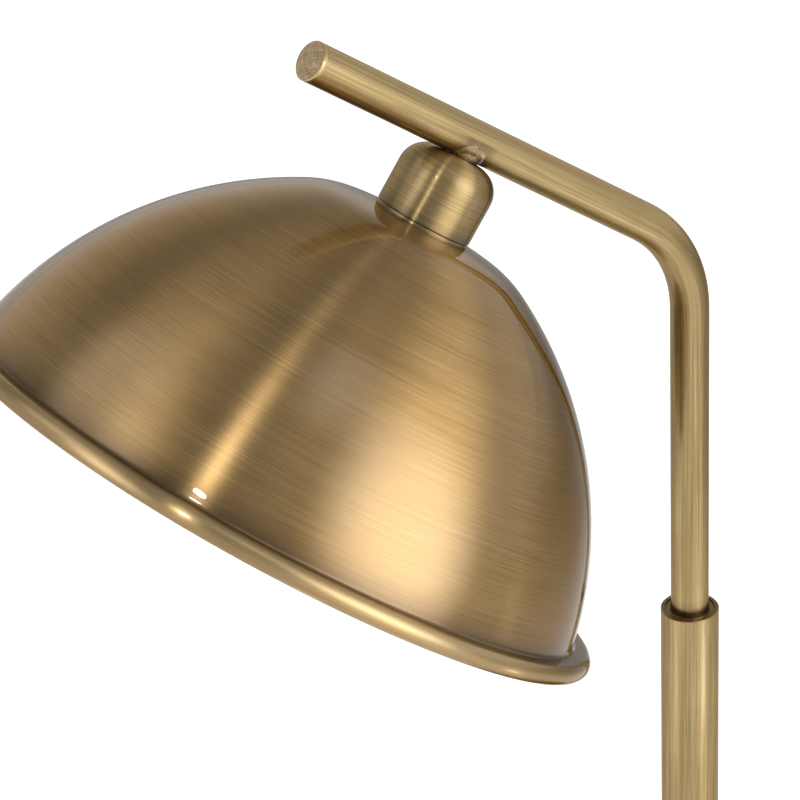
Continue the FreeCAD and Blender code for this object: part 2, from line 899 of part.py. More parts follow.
def module_parts():
    top = -(mm.cap_drop + mm.sink_top)
    plate_foot = top - mm.sink_plate
    foot = top - mm.sink_depth
    bore = mm.nipple_radius + mm.thread_gap
    well = length(10.5)
    well_top = top - 2
    inner = mm.sink_radius - mm.sink_wall
    bevel = 1.5

    sink = new_body("heat_sink")
    turn(
        sink,
        "sink",
        [
            (bore, well_top),
            (well, well_top),
            (well, plate_foot),
            (inner, plate_foot),
            (inner, foot),
            (mm.sink_radius, foot),
            (mm.sink_radius, top - bevel),
            (mm.sink_radius - bevel, top),
            (bore, top),
        ],
    )

    def fin_gap(sketch):
        low = mm.sink_radius - mm.fin_depth
        draw_block(sketch, low, mm.sink_radius + 2, -(mm.fin_gap / 2), mm.fin_gap / 2)

    slot = pocket(sink, "fin_gap", fin_gap, mm.sink_depth - 5, offset=foot + 5)
    around(sink, "fins", [slot], mm.fin_count)
    place_on_head(sink)

    washer_height, nut_height = length(1.0), length(3.0)
    washer = ring("lock_washer", bore, 8.5, well_top - washer_height, well_top)
    place_on_head(washer)
    nut = new_body("lock_nut")
    nut_foot = well_top - washer_height - nut_height
    pad(nut, "nut", lambda sketch: hexagon(sketch, length(14)), nut_height, offset=nut_foot)
    pocket(nut, "nut_bore", lambda sketch: draw_circle(sketch, 0, 0, mm.nipple_radius))
    place_on_head(nut)

    board = new_body("led_board")
    board_foot = plate_foot - mm.board_thick
    turn(
        board,
        "board",
        [(3, board_foot), (mm.board_radius, board_foot), (mm.board_radius, plate_foot), (3, plate_foot)],
    )
    hole = pocket(board, "screw_hole", lambda sketch: draw_circle(sketch, mm.board_screw_circle, 0, 1.6))
    around(board, "screw_holes", [hole], 3)
    place_on_head(board)

    screws = new_body("board_screws")
    screws.AllowCompound = True
    middle = mm.board_screw_circle
    section = [
        (middle, board_foot - 1.8),
        (middle + 2, board_foot - 1.8),
        (middle + 2.6, board_foot),
        (middle + 1.4, board_foot),
        (middle + 1.4, plate_foot + 4),
        (middle, plate_foot + 4),
    ]
    screw = turn(screws, "screw", section, middle)
    around(screws, "screws", [screw], 3)
    place_on_head(screws)

    def tapped_hole(sketch):
        draw_circle(sketch, middle, 0, 1.4)

    tapped = pocket(sink, "tapped_hole", tapped_hole, 4.5, offset=plate_foot)
    around(sink, "tapped_holes", [tapped], 3)

    chips = new_body("led_chips")
    chips.AllowCompound = True
    half = mm.chip_side / 2
    for name, circle, count in (("outer_chip", 24, 12), ("inner_chip", 12, 6)):

        def chip(sketch, circle=circle):
            draw_block(sketch, circle - half, circle + half, -half, half)

        one = pad(chips, name, chip, mm.chip_thick, offset=board_foot - mm.chip_thick)
        around(chips, name, [one], count)
    place_on_head(chips)

    diffuser = new_body("diffuser")
    seat = foot + mm.diffuser_thick
    edge, dish = mm.diffuser_radius, mm.diffuser_radius - 4
    inside = dish - 1
    below = (dish * dish + mm.diffuser_bulge * mm.diffuser_bulge) / (2 * mm.diffuser_bulge)
    above = (inside * inside + mm.diffuser_bulge * mm.diffuser_bulge) / (2 * mm.diffuser_bulge)
    turn(
        diffuser,
        "diffuser",
        [
            (0, foot - mm.diffuser_bulge, below, "left"),
            (dish, foot),
            (edge, foot),
            (edge, seat),
            (inside, seat, above, "right"),
            (0, seat - mm.diffuser_bulge),
        ],
    )
    place_on_head(diffuser)

    retainer = new_body("diffuser_ring")
    lip, skirt, grip = mm.diffuser_radius - 2.5, mm.sink_radius + 0.1, mm.sink_radius + 1.6
    outside = [(lip, foot - 2), (grip - 1, foot - 2), (grip, foot - 1), (grip, foot + 4)]
    turn(retainer, "ring", outside + [(skirt, foot + 4), (skirt, foot), (lip, foot)])
    place_on_head(retainer)


# Wires: one cable in the arm, one in the stem, and the short leads in the base


def wires():
    lamp = new_body("lamp_wires")
    low = -(mm.cap_drop + mm.sink_top + mm.sink_plate + mm.board_thick)
    end = down_the_stem(mm.journal_foot - 0.5)
    corners = [(length(0), low), (length(0), length(0)), (mm.neck_reach, length(0)), end]
    pipe(
        lamp,
        "cable",
        corners,
        [mm.wire_bend, mm.bend_radius],
        lambda sketch: draw_circle(sketch, 0, 0, mm.wire_radius),
        "XY_Plane",
        low,
    )
    place_on_head(lamp)

    supply = new_body("supply_wires")
    level = length(5.2)
    corners = [
        (mm.driver_near, level),
        (length(0), level),
        (length(0), mm.journal_foot - 1.5),
    ]
    pipe(
        supply,
        "cable",
        corners,
        [mm.wire_bend],
        lambda sketch: draw_circle(sketch, 0, level, mm.wire_radius),
        "YZ_Plane",
        mm.driver_near,
    )
    place(supply, angle=90)

    switch = new_body("switch_wires")
    start = -(mm.button_place - 8)

    def lead(sketch):
        draw_circle(sketch, 5, 4.6, 1.3)

    pad(switch, "lead", lead, mm.driver_near - start, "XZ_Plane", -mm.driver_near)
    place(switch)

    feed = new_body("input_wires")
    feed.AllowCompound = True

    def pair(sketch):
        for side in (-4, 4):
            draw_circle(sketch, side, mm.inlet_height, 1.3)

    pad(feed, "lead", pair, 6, "XZ_Plane", -(mm.driver_far + 6))
    place(feed)


# Driver, terminal block and cord inlet


def electrical_parts():
    driver = new_body("driver")
    floor = mm.pad_thick + mm.plate_thick
    pad(
        driver,
        "box",
        lambda sketch: draw_block(sketch, -mm.driver_half, mm.driver_half, mm.driver_near, mm.driver_far),
        11,
        offset=floor,
    )
    doc.recompute()
    bevel_edges(driver, "box", 1.0)
    place(driver)

    terminal = new_body("terminal_block")
    near = mm.driver_far + 6
    pad(terminal, "block", lambda sketch: draw_block(sketch, -9, 9, near, near + 13), 10, offset=floor)
    for index, side in enumerate((-4, 4)):
        pocket(
            terminal,
            f"screw_well_{index}",
            lambda sketch, side=side: draw_circle(sketch, side, near + 6.5, 1.8),
            3,
            offset=floor + 7,
        )
        pocket(
            terminal,
            f"wire_hole_{index}",
            lambda sketch, side=side: draw_circle(sketch, side, mm.inlet_height, 1.3),
            5,
            "XZ_Plane",
            -(near + 13),
        )
    place(terminal)

    inlet = new_body("cord_inlet")
    bore, neck_radius, flange = mm.inlet_bore, length(5.0), length(6.4)
    turn(
        inlet,
        "grommet",
        [
            (bore, 0),
            (flange - 1, 0),
            (flange, 1.8),
            (neck_radius, 1.8),
            (neck_radius, 3.3),
            (flange, 3.3),
            (flange, 4.3),
            (flange - 1.2, 7),
            (bore, 7),
        ],
    )
    place(inlet, y=mm.base_radius - 3.25, z=mm.inlet_height, axis=vector(1, 0, 0), angle=-90)


def bevel_edges(body, name, size):
    """Bevels every edge of the body's last feature."""
    base = body.Tip
    feature = body.newObject("PartDesign::Chamfer", f"{name}_bevel")
    feature.Base = (base, [f"Edge{index + 1}" for index in range(len(base.Shape.Edges))])
    feature.Size = size
    return feature


# Push button: bezel, switch block, spring and button


def button_parts():
    front = -mm.button_place
    bezel = new_body("switch_bezel")
    neck_radius, hole = length(11), mm.button_radius + 0.3
    foot, lip_top = mm.weight_top - mm.base_top, mm.weight_top - mm.base_top + 2.3
    turn(
        bezel,
        "bezel",
        [
            (7, foot + 1.5),
            (hole, foot + 1.5),
            (hole, foot),
            (neck_radius, foot),
            (neck_radius, 0),
            (mm.bezel_radius, 0),
            (mm.bezel_radius, 0.6),
            (mm.bezel_radius - 0.6, 1.2),
            (hole, 1.2),
            (hole, lip_top),
            (7, lip_top),
        ],
    )
    place(bezel, y=front, z=mm.base_top)

    block = new_body("switch_body")
    depth = mm.weight_top - mm.pad_thick - mm.plate_thick - 2
    pad(block, "block", lambda sketch: draw_block(sketch, -8, 8, -8, 8), depth, offset=-depth)
    pocket(block, "plunger_hole", lambda sketch: draw_circle(sketch, 0, 0, 1.8), 4, offset=-4)
    place(block, y=front, z=mm.weight_top)

    button = new_body("push_button")
    skirt, top, edge = length(4.3), mm.button_top - mm.weight_top, length(1.0)
    radius = mm.button_radius
    turn(
        button,
        "button",
        [
            (0, -1.5),
            (1.5, -1.5),
            (1.5, 7),
            (5, 7),
            (5, skirt),
            (radius, skirt),
            (radius, top - edge, edge, "left"),
            (radius - edge, top),
            (0, top),
        ],
    )
    place(button, y=front, z=mm.weight_top)

    coil_radius, wire, turns, rise = 3.2, 0.3, 5, 6.2
    helix = Part.makeHelix(rise / turns, rise, coil_radius)
    start = vector(coil_radius, 0, 0)
    circle = Part.Wire([Part.makeCircle(wire, start, vector(0, 1, 0))])
    coil = Part.Wire(helix.Edges).makePipeShell([circle], True, False)
    spring = doc.addObject("Part::Feature", "switch_spring")
    spring.Label = "switch_spring"
    spring.Shape = coil
    seated = vector(0, front.value, mm.weight_top.value + wire + 0.05)
    spring.Placement = FreeCAD.Placement(seated, FreeCAD.Rotation())
    pieces.append(spring)


def build():
    base_pad()
    base_plate()
    base_screws()
    base_weight()
    base_cover()
    stem_parts()
    joint_parts()
    arm_parts()
    neck()
    cap_parts()
    shade()
    liner_parts()
    module_parts()
    wires()
    electrical_parts()
    button_parts()


def check():
    """Stops the build at any feature that failed or any sub-part without one sound shape."""
    for item in doc.Objects:
        if "Invalid" in item.State or "Error" in item.State:
            raise RuntimeError(f"{item.Name} failed: {item.State}")
    for piece in pieces:
        if piece.Shape.isNull() or not piece.Shape.isValid() or piece.Shape.Volume <= 0:
            raise RuntimeError(f"{piece.Label} has no sound shape")


def export():
    os.makedirs("parts", exist_ok=True)
    for piece in pieces:
        piece.Shape.exportStep(f"parts/{piece.Label}.step")
        print(piece.Label, round(piece.Shape.Volume, 1), "mm3 in", len(piece.Shape.Solids), "solids")


build()
doc.recompute()
check()
export()
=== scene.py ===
# %% [markdown]
# # A brushed brass desk lamp
# This lesson dresses the lamp's measured model for a picture. The measured model gives the places
# and the sizes, and every piece made here sits where that model says. Lengths are in metres, +Z is
# up, the arm reaches towards -X, and the origin is the middle of the base's underside.

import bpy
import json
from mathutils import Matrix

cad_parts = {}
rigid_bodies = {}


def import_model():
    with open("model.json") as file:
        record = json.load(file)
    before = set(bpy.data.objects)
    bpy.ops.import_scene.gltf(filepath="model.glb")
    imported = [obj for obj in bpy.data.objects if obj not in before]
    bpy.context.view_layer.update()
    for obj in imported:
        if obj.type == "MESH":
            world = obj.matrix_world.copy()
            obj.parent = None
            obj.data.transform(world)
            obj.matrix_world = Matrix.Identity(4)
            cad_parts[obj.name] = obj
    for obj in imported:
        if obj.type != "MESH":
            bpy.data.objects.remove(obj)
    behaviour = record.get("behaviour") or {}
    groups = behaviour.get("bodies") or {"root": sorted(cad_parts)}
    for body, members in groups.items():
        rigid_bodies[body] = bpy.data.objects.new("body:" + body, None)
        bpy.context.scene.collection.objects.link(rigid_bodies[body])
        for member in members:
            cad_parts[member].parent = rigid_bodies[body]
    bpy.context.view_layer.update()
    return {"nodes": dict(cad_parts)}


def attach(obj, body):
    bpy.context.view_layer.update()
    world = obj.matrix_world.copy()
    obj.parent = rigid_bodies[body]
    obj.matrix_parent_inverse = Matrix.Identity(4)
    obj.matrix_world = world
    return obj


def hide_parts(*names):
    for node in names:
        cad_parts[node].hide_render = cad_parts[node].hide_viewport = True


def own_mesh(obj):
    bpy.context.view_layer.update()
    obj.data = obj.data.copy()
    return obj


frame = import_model()

import json
import math

import bmesh
import bpy
from mathutils import Matrix, Vector, noise

print("measured pieces:", len(frame["nodes"]))

# %% [markdown]
# The lamp's head hangs from a bar that rises at 36.8 degrees. It is easiest to draw the shade, the
# cap and the lamp inside them upright, about the head's own Z axis, and to move the finished points
# into the lamp with one matrix. The head's origin is where the shade's axis meets the middle of the
# bar.

# %% Key sizes and the head's place
TILT = math.radians(36.8)
STEM_TOP = 0.250
CORNER = Vector((0.0, 0.0, STEM_TOP + 0.140))
NECK_REACH = 0.104
BAR_LENGTH = 0.1726
ARM_RADIUS, ARM_WALL = 0.0065, 0.0012
STEM_RADIUS, STEM_WALL = 0.010, 0.0015
BEND_RADIUS = 0.047
CAP_DROP = 0.0296
UPRIGHT = Matrix.Identity(4)

along_bar = Vector((-math.cos(TILT), 0.0, math.sin(TILT)))
head_place = CORNER + along_bar * NECK_REACH
HEAD = Matrix.Translation(head_place) @ Matrix.Rotation(TILT, 4, "Y")
print("head origin:", tuple(round(value, 4) for value in head_place))

# %% [markdown]
# ## Node helpers
# Every finish is a small tree of nodes. These helpers add a node and link it in one line, so that a
# finish reads from its pattern to its shader. The real lamp's brass was brushed, and brushing
# follows the shape: round the axis on spun pieces, lengthwise on tubes. So each brass piece carries
# two attributes on its points. `grain` unrolls the surface, with the two turns of the circle and
# the length along the profile, and `way` is the brushing's direction.

# %% A small kit for trees of nodes


def new_material(name):
    """An empty node material and its tree."""
    material = bpy.data.materials.new(name)
    material.use_nodes = True
    material.node_tree.nodes.clear()
    return material, material.node_tree


def add(tree, kind, inputs=None, **settings):
    """Adds a node. A value in inputs is a number, a colour or another node's socket."""
    node = tree.nodes.new(kind)
    for name, value in settings.items():
        setattr(node, name, value)
    for name, value in (inputs or {}).items():
        if isinstance(value, bpy.types.NodeSocket):
            tree.links.new(value, node.inputs[name])
        else:
            node.inputs[name].default_value = value
    return node


def times(tree, first, second):
    """The product of two numbers, each a value or a socket."""
    return add(tree, "ShaderNodeMath", {0: first, 1: second}, operation="MULTIPLY").outputs[0]


def plus(tree, first, second):
    """The sum of two numbers, each a value or a socket."""
    return add(tree, "ShaderNodeMath", {0: first, 1: second}, operation="ADD").outputs[0]


def vector_math(tree, operation, first, second=(0.0, 0.0, 0.0), result=0):
    """One step of vector arithmetic on vectors or vector sockets."""
    inputs = {0: first, 1: second}
    return add(tree, "ShaderNodeVectorMath", inputs, operation=operation).outputs[result]


def stretch(tree, vector, scale):
    """A vector socket scaled on each axis."""
    return vector_math(tree, "MULTIPLY", vector, scale)


def cloud(tree, vector, detail=2.0, roughness=0.5):
    """Soft noise on a vector socket that already carries its scale."""
    inputs = {"Vector": vector, "Scale": 1.0, "Detail": detail, "Roughness": roughness}
    return add(tree, "ShaderNodeTexNoise", inputs).outputs["Fac"]


def between(tree, value, low, high, least, most):
    """Maps a number socket from low...high to least...most and holds it there."""
    inputs = {"Value": value, "From Min": low, "From Max": high, "To Min": least, "To Max": most}
    return add(tree, "ShaderNodeMapRange", inputs).outputs["Result"]


def ramp(tree, value, positions, colours):
    """A colour ramp over a number socket."""
    node = add(tree, "ShaderNodeValToRGB", {"Fac": value})
    elements = node.color_ramp.elements
    while len(elements) < len(positions):
        elements.new(0.5)
    for element, position, colour in zip(elements, positions, colours):
        element.position = position
        element.color = (*colour, 1.0)
    return node.outputs["Color"]


def blend_colour(tree, factor, first, second, mode="MIX"):
    """Two colours mixed by a factor."""
    node = add(tree, "ShaderNodeMix", data_type="RGBA", blend_type=mode)
    colours = [socket for socket in node.inputs if socket.type == "RGBA"]
    for socket, value in zip((node.inputs["Factor"], *colours), (factor, first, second)):
        if isinstance(value, bpy.types.NodeSocket):
            tree.links.new(value, socket)
        else:
            socket.default_value = value
    return next(socket for socket in node.outputs if socket.type == "RGBA")


def finish(tree, shader):
    """Ends a tree in the surface output."""
    add(tree, "ShaderNodeOutputMaterial", {"Surface": shader.outputs[0]})


def finish_common(tree, inputs):
    """Ends a tree in the common shader, which knows metal, coat and plain surfaces."""
    finish(tree, add(tree, "ShaderNodeBsdfPrincipled", inputs))


def grey(value):
    """A grey colour."""
    return (value, value, value)


WHITE = (*grey(1.0), 1.0)
print("helpers ready")

# %% [markdown]
# ## Antique brass
# The visible metal is brass, darkened, brushed through to pale gold and covered with a clear gloss
# lacquer. In the picture the brushing is thousands of fine lines, a little uneven in depth, and the
# brown is thicker in corners where the brush could not reach. The lines are noise that is stretched
# about a hundred times along `way`. They change the colour, the roughness and, through a bump, the
# surface. The light streaks across the lines because the shader's anisotropy follows `way`. The
# lacquer is the shader's coat, smooth and clear. The shade's brass is a little warmer than the
# rest, and the cap's is duller. A third attribute says where the metal is brown, above 0, and where
# it is paler, below 0. The paler parts are worn edges, and also painted highlights on the top of
# the bar and of the rolled edge.

# %% The brushed brass family


def attribute(tree, name):
    """A point attribute of the piece."""
    return add(tree, "ShaderNodeAttribute", attribute_name=name)


def world_way(tree):
    """The brushing's direction, turned with the piece into the world."""
    inputs = {"Vector": attribute(tree, "way").outputs["Vector"]}
    settings = {"vector_type": "VECTOR", "convert_from": "OBJECT", "convert_to": "WORLD"}
    return add(tree, "ShaderNodeVectorTransform", inputs, **settings).outputs[0]


def brushed_lines(tree, lines):
    """Fine and coarse brush lines on the unrolled surface, mixed to one height from 0 to 1."""
    grain = attribute(tree, "grain").outputs["Vector"]
    fine = cloud(tree, stretch(tree, grain, lines), 2.0, 0.6)
    coarse = cloud(tree, stretch(tree, grain, [value * 0.4 for value in lines]), 2.0, 0.55)
    return times(tree, plus(tree, fine, coarse), 0.5)


def brass_tone(tree, streaks, tones):
    """Colour: brush lines, broad warm patches, brown corners, worn edges and painted highlights."""
    grain = attribute(tree, "grain").outputs["Vector"]
    patches = cloud(tree, stretch(tree, grain, (26.0, 26.0, 55.0)), 3.0, 0.5)
    tone = ramp(tree, streaks, (0.34, 0.5, 0.67), tones)
    warmth = ramp(tree, patches, (0.35, 0.65), ((0.95, 0.93, 0.9), (1.04, 1.03, 1.02)))
    tone = blend_colour(tree, 1.0, tone, warmth, "MULTIPLY")
    patina = attribute(tree, "patina").outputs["Fac"]
    # Below 0 the metal is paler: worn edges, and painted highlights on the bar and the rolled edge.
    rubbed_and_lit = between(tree, patina, 0.0, -1.0, 0.0, 1.0)
    tone = blend_colour(tree, rubbed_and_lit, tone, (*RUBBED_AND_LIT, 1.0))
    return blend_colour(tree, between(tree, patina, 0.0, 1.0, 0.0, 1.0), tone, (*BROWN, 1.0))


BROWN = (0.085, 0.052, 0.024)
# The paler tone: worn edges, and painted highlights on the bar and the rolled edge.
RUBBED_AND_LIT = (0.56, 0.44, 0.23)
GOLD = ((0.218, 0.152, 0.064), (0.31, 0.223, 0.098), (0.42, 0.317, 0.152))
AMBER = ((0.24, 0.15, 0.058), (0.312, 0.199, 0.078), (0.395, 0.268, 0.116))
SPUN_LINES = (60.0, 60.0, 9000.0)
DRAWN_LINES = (2600.0, 2600.0, 30.0)


def antique_brass(
    name, lines, tones=GOLD, roughness=0.33, anisotropy=1.0, bump_height=0.00006, lacquer=0.7
):
    """Brushed brass. lines scales the unrolled surface, so that noise on it becomes lines."""
    material, tree = new_material(name)
    streaks = brushed_lines(tree, lines)
    relief = {"Height": streaks, "Strength": 0.3, "Distance": bump_height}
    bump = add(tree, "ShaderNodeBump", relief)
    shader = {
        "Base Color": brass_tone(tree, streaks, tones),
        "Metallic": 1.0,
        "Roughness": between(tree, streaks, 0.3, 0.7, roughness - 0.05, roughness + 0.05),
        "Specular Tint": (0.45, 0.35, 0.22, 1.0),
        "Anisotropic": anisotropy,
        "Anisotropic Rotation": 0.25,
        "Tangent": world_way(tree),
        "Normal": bump.outputs["Normal"],
        "Coat Weight": lacquer,
        "Coat Roughness": 0.02,
        "Coat IOR": 1.45,
    }
    finish_common(tree, shader)
    return material


spun_brass = antique_brass("spun_brass", SPUN_LINES)
shade_brass = antique_brass("shade_brass", SPUN_LINES, AMBER)
cap_brass = antique_brass("cap_brass", SPUN_LINES, roughness=0.39, lacquer=0.45)
drawn_brass = antique_brass(
    "drawn_brass", DRAWN_LINES, roughness=0.35, anisotropy=0.5, bump_height=0.00004, lacquer=0.4
)
print("brass:", spun_brass.name, shade_brass.name, cap_brass.name, drawn_brass.name)

# %% [markdown]
# The free end of the arm was faced off by hand on a belt, so its disc has short curved scratches
# instead of straight lines. They are rings of noise about a point beside the disc, bent by a slower
# noise, and a second set about another point crosses them. The disc's two flat coordinates are in
# `grain` already.

# %% Hand-scratched brass


def scratches(tree, centre, rings):
    """Curved scratches about a point beside the disc."""
    grain = attribute(tree, "grain").outputs["Vector"]
    flat = stretch(tree, grain, (1.0, 1.0, 0.0))
    drift = {"Vector": flat, "Scale": 260.0, "Detail": 2.0}
    drift = add(tree, "ShaderNodeTexNoise", drift).outputs["Color"]
    moved = vector_math(tree, "ADD", flat, stretch(tree, drift, (0.0016, 0.0016, 0.0)))
    away = vector_math(tree, "DISTANCE", moved, centre, "Value")
    ring = {"X": times(tree, away, rings), "Y": 0.0, "Z": 0.0}
    ring = add(tree, "ShaderNodeCombineXYZ", ring).outputs[0]
    uneven = stretch(tree, flat, (170.0, 170.0, 0.0))
    return cloud(tree, vector_math(tree, "ADD", ring, uneven), 2.0)


def faced_brass(name):
    """Brass faced off by hand under the same lacquer."""
    material, tree = new_material(name)
    one = scratches(tree, (0.009, -0.006, 0.0), 2300.0)
    other = scratches(tree, (-0.011, -0.008, 0.0), 1700.0)
    marks = times(tree, plus(tree, one, other), 0.5)
    tones = ((0.24, 0.16, 0.075), (0.36, 0.26, 0.135), (0.5, 0.38, 0.21))
    tone = ramp(tree, marks, (0.36, 0.5, 0.64), tones)
    tone = blend_colour(tree, attribute(tree, "patina").outputs["Fac"], tone, (*BROWN, 1.0))
    bump = add(tree, "ShaderNodeBump", {"Height": marks, "Strength": 0.6, "Distance": 0.00012})
    shader = {
        "Base Color": tone,
        "Metallic": 1.0,
        "Roughness": between(tree, marks, 0.3, 0.7, 0.36, 0.48),
        "Normal": bump.outputs["Normal"],
        "Coat Weight": 0.5,
        "Coat Roughness": 0.05,
    }
    finish_common(tree, shader)
    return material


disc_brass = faced_brass("faced_brass")
print("disc:", disc_brass.name)

# %% [markdown]
# ## A lathe for the round pieces
# The shade, cap, stem and base are all turned or spun, so one profile swept round an axis makes
# each of them. A Screw modifier could do it, but this small lathe also writes the `grain` and `way`
# attributes as it goes, so that the brushing fits every piece without a seam. A profile is a list
# of arcs and points with the radius first.

# %% Profiles


def arc(centre, radius, start, end, steps):
    """Points of an arc in the (radius, height) plane, by angles in degrees."""
    turns = [math.radians(start + (end - start) * step / steps) for step in range(steps + 1)]
    across, up = centre
    return [(across + radius * math.cos(turn), up + radius * math.sin(turn)) for turn in turns]


GENTLE_TURN = 25.0


def soften(profile, size):
    """Rounds a closed profile's corners a little, as a file does. Gentle turns stay."""
    points = []
    for index, here in enumerate(profile):
        before, after = profile[index - 1], profile[(index + 1) % len(profile)]
        come = (here[0] - before[0], here[1] - before[1])
        leave = (after[0] - here[0], after[1] - here[1])
        crossed = come[0] * leave[1] - come[1] * leave[0]
        aligned = come[0] * leave[0] + come[1] * leave[1]
        if abs(math.degrees(math.atan2(crossed, aligned))) < GENTLE_TURN:
            points.append(here)
            continue
        come_length, leave_length = math.hypot(*come), math.hypot(*leave)
        towards = [go / leave_length - came / come_length for came, go in zip(come, leave)]
        for share in (1.0, 0.35, -0.35, -1.0):
            side, length = (come, come_length) if share > 0 else (leave, leave_length)
            back = -share * min(size, 0.4 * length) / length
            inward = 0.16 * min(size, 0.4 * come_length, 0.4 * leave_length) * (abs(share) < 1.0)
            moved = zip(here, side, towards)
            points.append(tuple(at + run * back + pull * inward for at, run, pull in moved))
    return points


def fill_profile(profile, longest=0.004):
    """Adds points on long straight runs, so that attributes vary smoothly along them."""
    points = []
    for (across, up), (next_across, next_up) in zip(profile, profile[1:]):
        wide, high = next_across - across, next_up - up
        count = max(1, math.ceil(math.hypot(wide, high) / longest))
        steps = range(count)
        points += [(across + wide * step / count, up + high * step / count) for step in steps]
    return points + [profile[-1]]


print("an arc of 4 steps:", len(arc((0.0, 0.0), 1.0, 0, 90, 4)), "points")

# %% [markdown]
# A turned mesh is rings of points joined by faces, and it carries the three attributes that the
# brass reads. They could be texture coordinates, but a plain attribute keeps its own name and stays
# with the points. The same few helpers end every mesh and make it a shown piece.

# %% Meshes that carry their brushing


def write(mesh, name, values, kind="FLOAT"):
    """Stores an attribute on a mesh's points: a number for each, or a vector."""
    layer = mesh.attributes.get(name) or mesh.attributes.new(name, kind, "POINT")
    if kind == "FLOAT_VECTOR":
        layer.data.foreach_set("vector", [number for vector in values for number in vector])
    else:
        layer.data.foreach_set("value", values)


def write_brushing(mesh, grain, way, brown):
    """Stores what the brass reads."""
    write(mesh, "grain", grain, "FLOAT_VECTOR")
    write(mesh, "way", way, "FLOAT_VECTOR")
    write(mesh, "patina", brown)


def mesh_of(build, name):
    """Ends a bmesh as a mesh whose faces point outwards."""
    bmesh.ops.recalc_face_normals(build, faces=build.faces)
    mesh = bpy.data.meshes.new(name)
    build.to_mesh(mesh)
    build.free()
    return mesh


def join_rings(build, lower, upper):
    """Faces between two rings of points. A ring of one point is a pole."""
    count = max(len(lower), len(upper))
    for step in range(count):
        after = (step + 1) % count
        corners = [lower[step % len(lower)], lower[after % len(lower)]]
        corners += [upper[after % len(upper)], upper[step % len(upper)]]
        unique = list(dict.fromkeys(corners))
        if len(unique) > 2:
            build.faces.new(unique)


def piece_from_mesh(name, mesh, material, body, slot, *nodes):
    """A shown piece with its finish, its body, its slot and the nodes that it stands for."""
    mesh.shade_smooth()
    mesh.set_sharp_from_angle(angle=math.radians(34))
    mesh.materials.clear()
    mesh.materials.append(material)
    piece = bpy.data.objects.new(name, mesh)
    bpy.context.scene.collection.objects.link(piece)
    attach(piece, body)
    if nodes:
        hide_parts(*nodes)
    return piece


print("mesh helpers ready")

# %% [markdown]
# The lathe sweeps a profile round Z and moves the points into place. Where the profile touches the
# axis, the ring is a single point, a pole. A small function of radius and height gives each point
# its brown, because dirt stays in corners and a cloth reaches edges. On the shade it also paints a
# highlight on top of the rolled edge.

# %% The lathe
POLE = 1e-6


def lathe(name, profile, place=UPRIGHT, segments=192, closed=True, patina=None, lengthwise=False):
    """Turned about Z and moved by place. patina(radius, height) gives brown and painted highlights.
    """
    points = fill_profile(profile + [profile[0]] if closed else profile)
    if closed:
        points = points[:-1]
    lengths = [0.0]
    for here, after in zip(points, points[1:]):
        lengths.append(lengths[-1] + math.dist(here, after))
    build = bmesh.new()
    rings, grain, way, brown = [], [], [], []
    for (radius, height), length in zip(points, lengths):
        ring = []
        for step in range(1 if radius < POLE else segments):
            turn = 2 * math.pi * step / segments
            cosine, sine = math.cos(turn), math.sin(turn)
            ring.append(build.verts.new(place @ Vector((radius * cosine, radius * sine, height))))
            grain.append((cosine * radius, sine * radius, length))
            direction = Vector((0.0, 0.0, 1.0)) if lengthwise else Vector((-sine, cosine, 0.0))
            way.append(place.to_3x3() @ direction)
            # Values below 0 are paler: worn edges, and on the shade a painted highlight.
            brown.append(patina(radius, height) if patina else 0.0)
        rings.append(ring)
    for lower, upper in zip(rings, rings[1:] + (rings[:1] if closed else [])):
        join_rings(build, lower, upper)
    mesh = mesh_of(build, name)
    write_brushing(mesh, grain, way, brown)
    print(f"{name}: {len(points)} rings, {len(mesh.polygons)} faces")
    return mesh


def turned(name, profile, material, body, slot, node, place=UPRIGHT, segments=192, **form):
    """A shown piece straight from the lathe."""
    mesh = lathe(name, profile, place, segments, **form)
    return piece_from_mesh(name, mesh, material, body, slot, node)


def near(value, target, reach):
    """1 at the target, falling smoothly to 0 at reach."""
    return max(0.0, 1.0 - (abs(value - target) / reach)) ** 1.5


# %% [markdown]
# Some turned pieces are drilled afterwards. A Boolean modifier with a plain round cutter does it,
# as a drill would. The new points on the hole's edge have no brushing of their own, so it is
# written again from each point's place. The screws' recesses are cut in the same way, with another
# tool.

# %% Drilling a turned piece


def cut_away(mesh, tools):
    """Takes closed tool meshes away from a mesh."""
    scene = bpy.context.scene.collection.objects
    blank = bpy.data.objects.new("blank", mesh)
    scene.link(blank)
    cutters = []
    for tool in tools:
        cutter = bpy.data.objects.new("cutter", tool)
        scene.link(cutter)
        cutters.append(cutter)
        cut = blank.modifiers.new("hole", "BOOLEAN")
        cut.operation, cut.solver, cut.object = "DIFFERENCE", "EXACT", cutter
    depsgraph = bpy.context.evaluated_depsgraph_get()
    left = bpy.data.meshes.new_from_object(blank.evaluated_get(depsgraph), depsgraph=depsgraph)
    for used in [blank, *cutters]:
        bpy.data.objects.remove(used)
    print(f"{mesh.name}: {len(tools)} cuts, {len(left.polygons)} faces")
    return left


def drill(mesh, holes):
    """Cuts round holes in a mesh. Each hole is (start, end, radius)."""
    tools = []
    for start, end, radius in holes:
        run = Vector(end) - Vector(start)
        upright = run.to_track_quat("Z", "Y").to_matrix().to_4x4()
        place = Matrix.Translation((Vector(start) + Vector(end)) / 2) @ upright
        build = bmesh.new()
        sizes = {"radius1": radius, "radius2": radius, "depth": run.length}
        bmesh.ops.create_cone(build, cap_ends=True, segments=64, matrix=place, **sizes)
        tools.append(mesh_of(build, "drill"))
    return cut_away(mesh, tools)


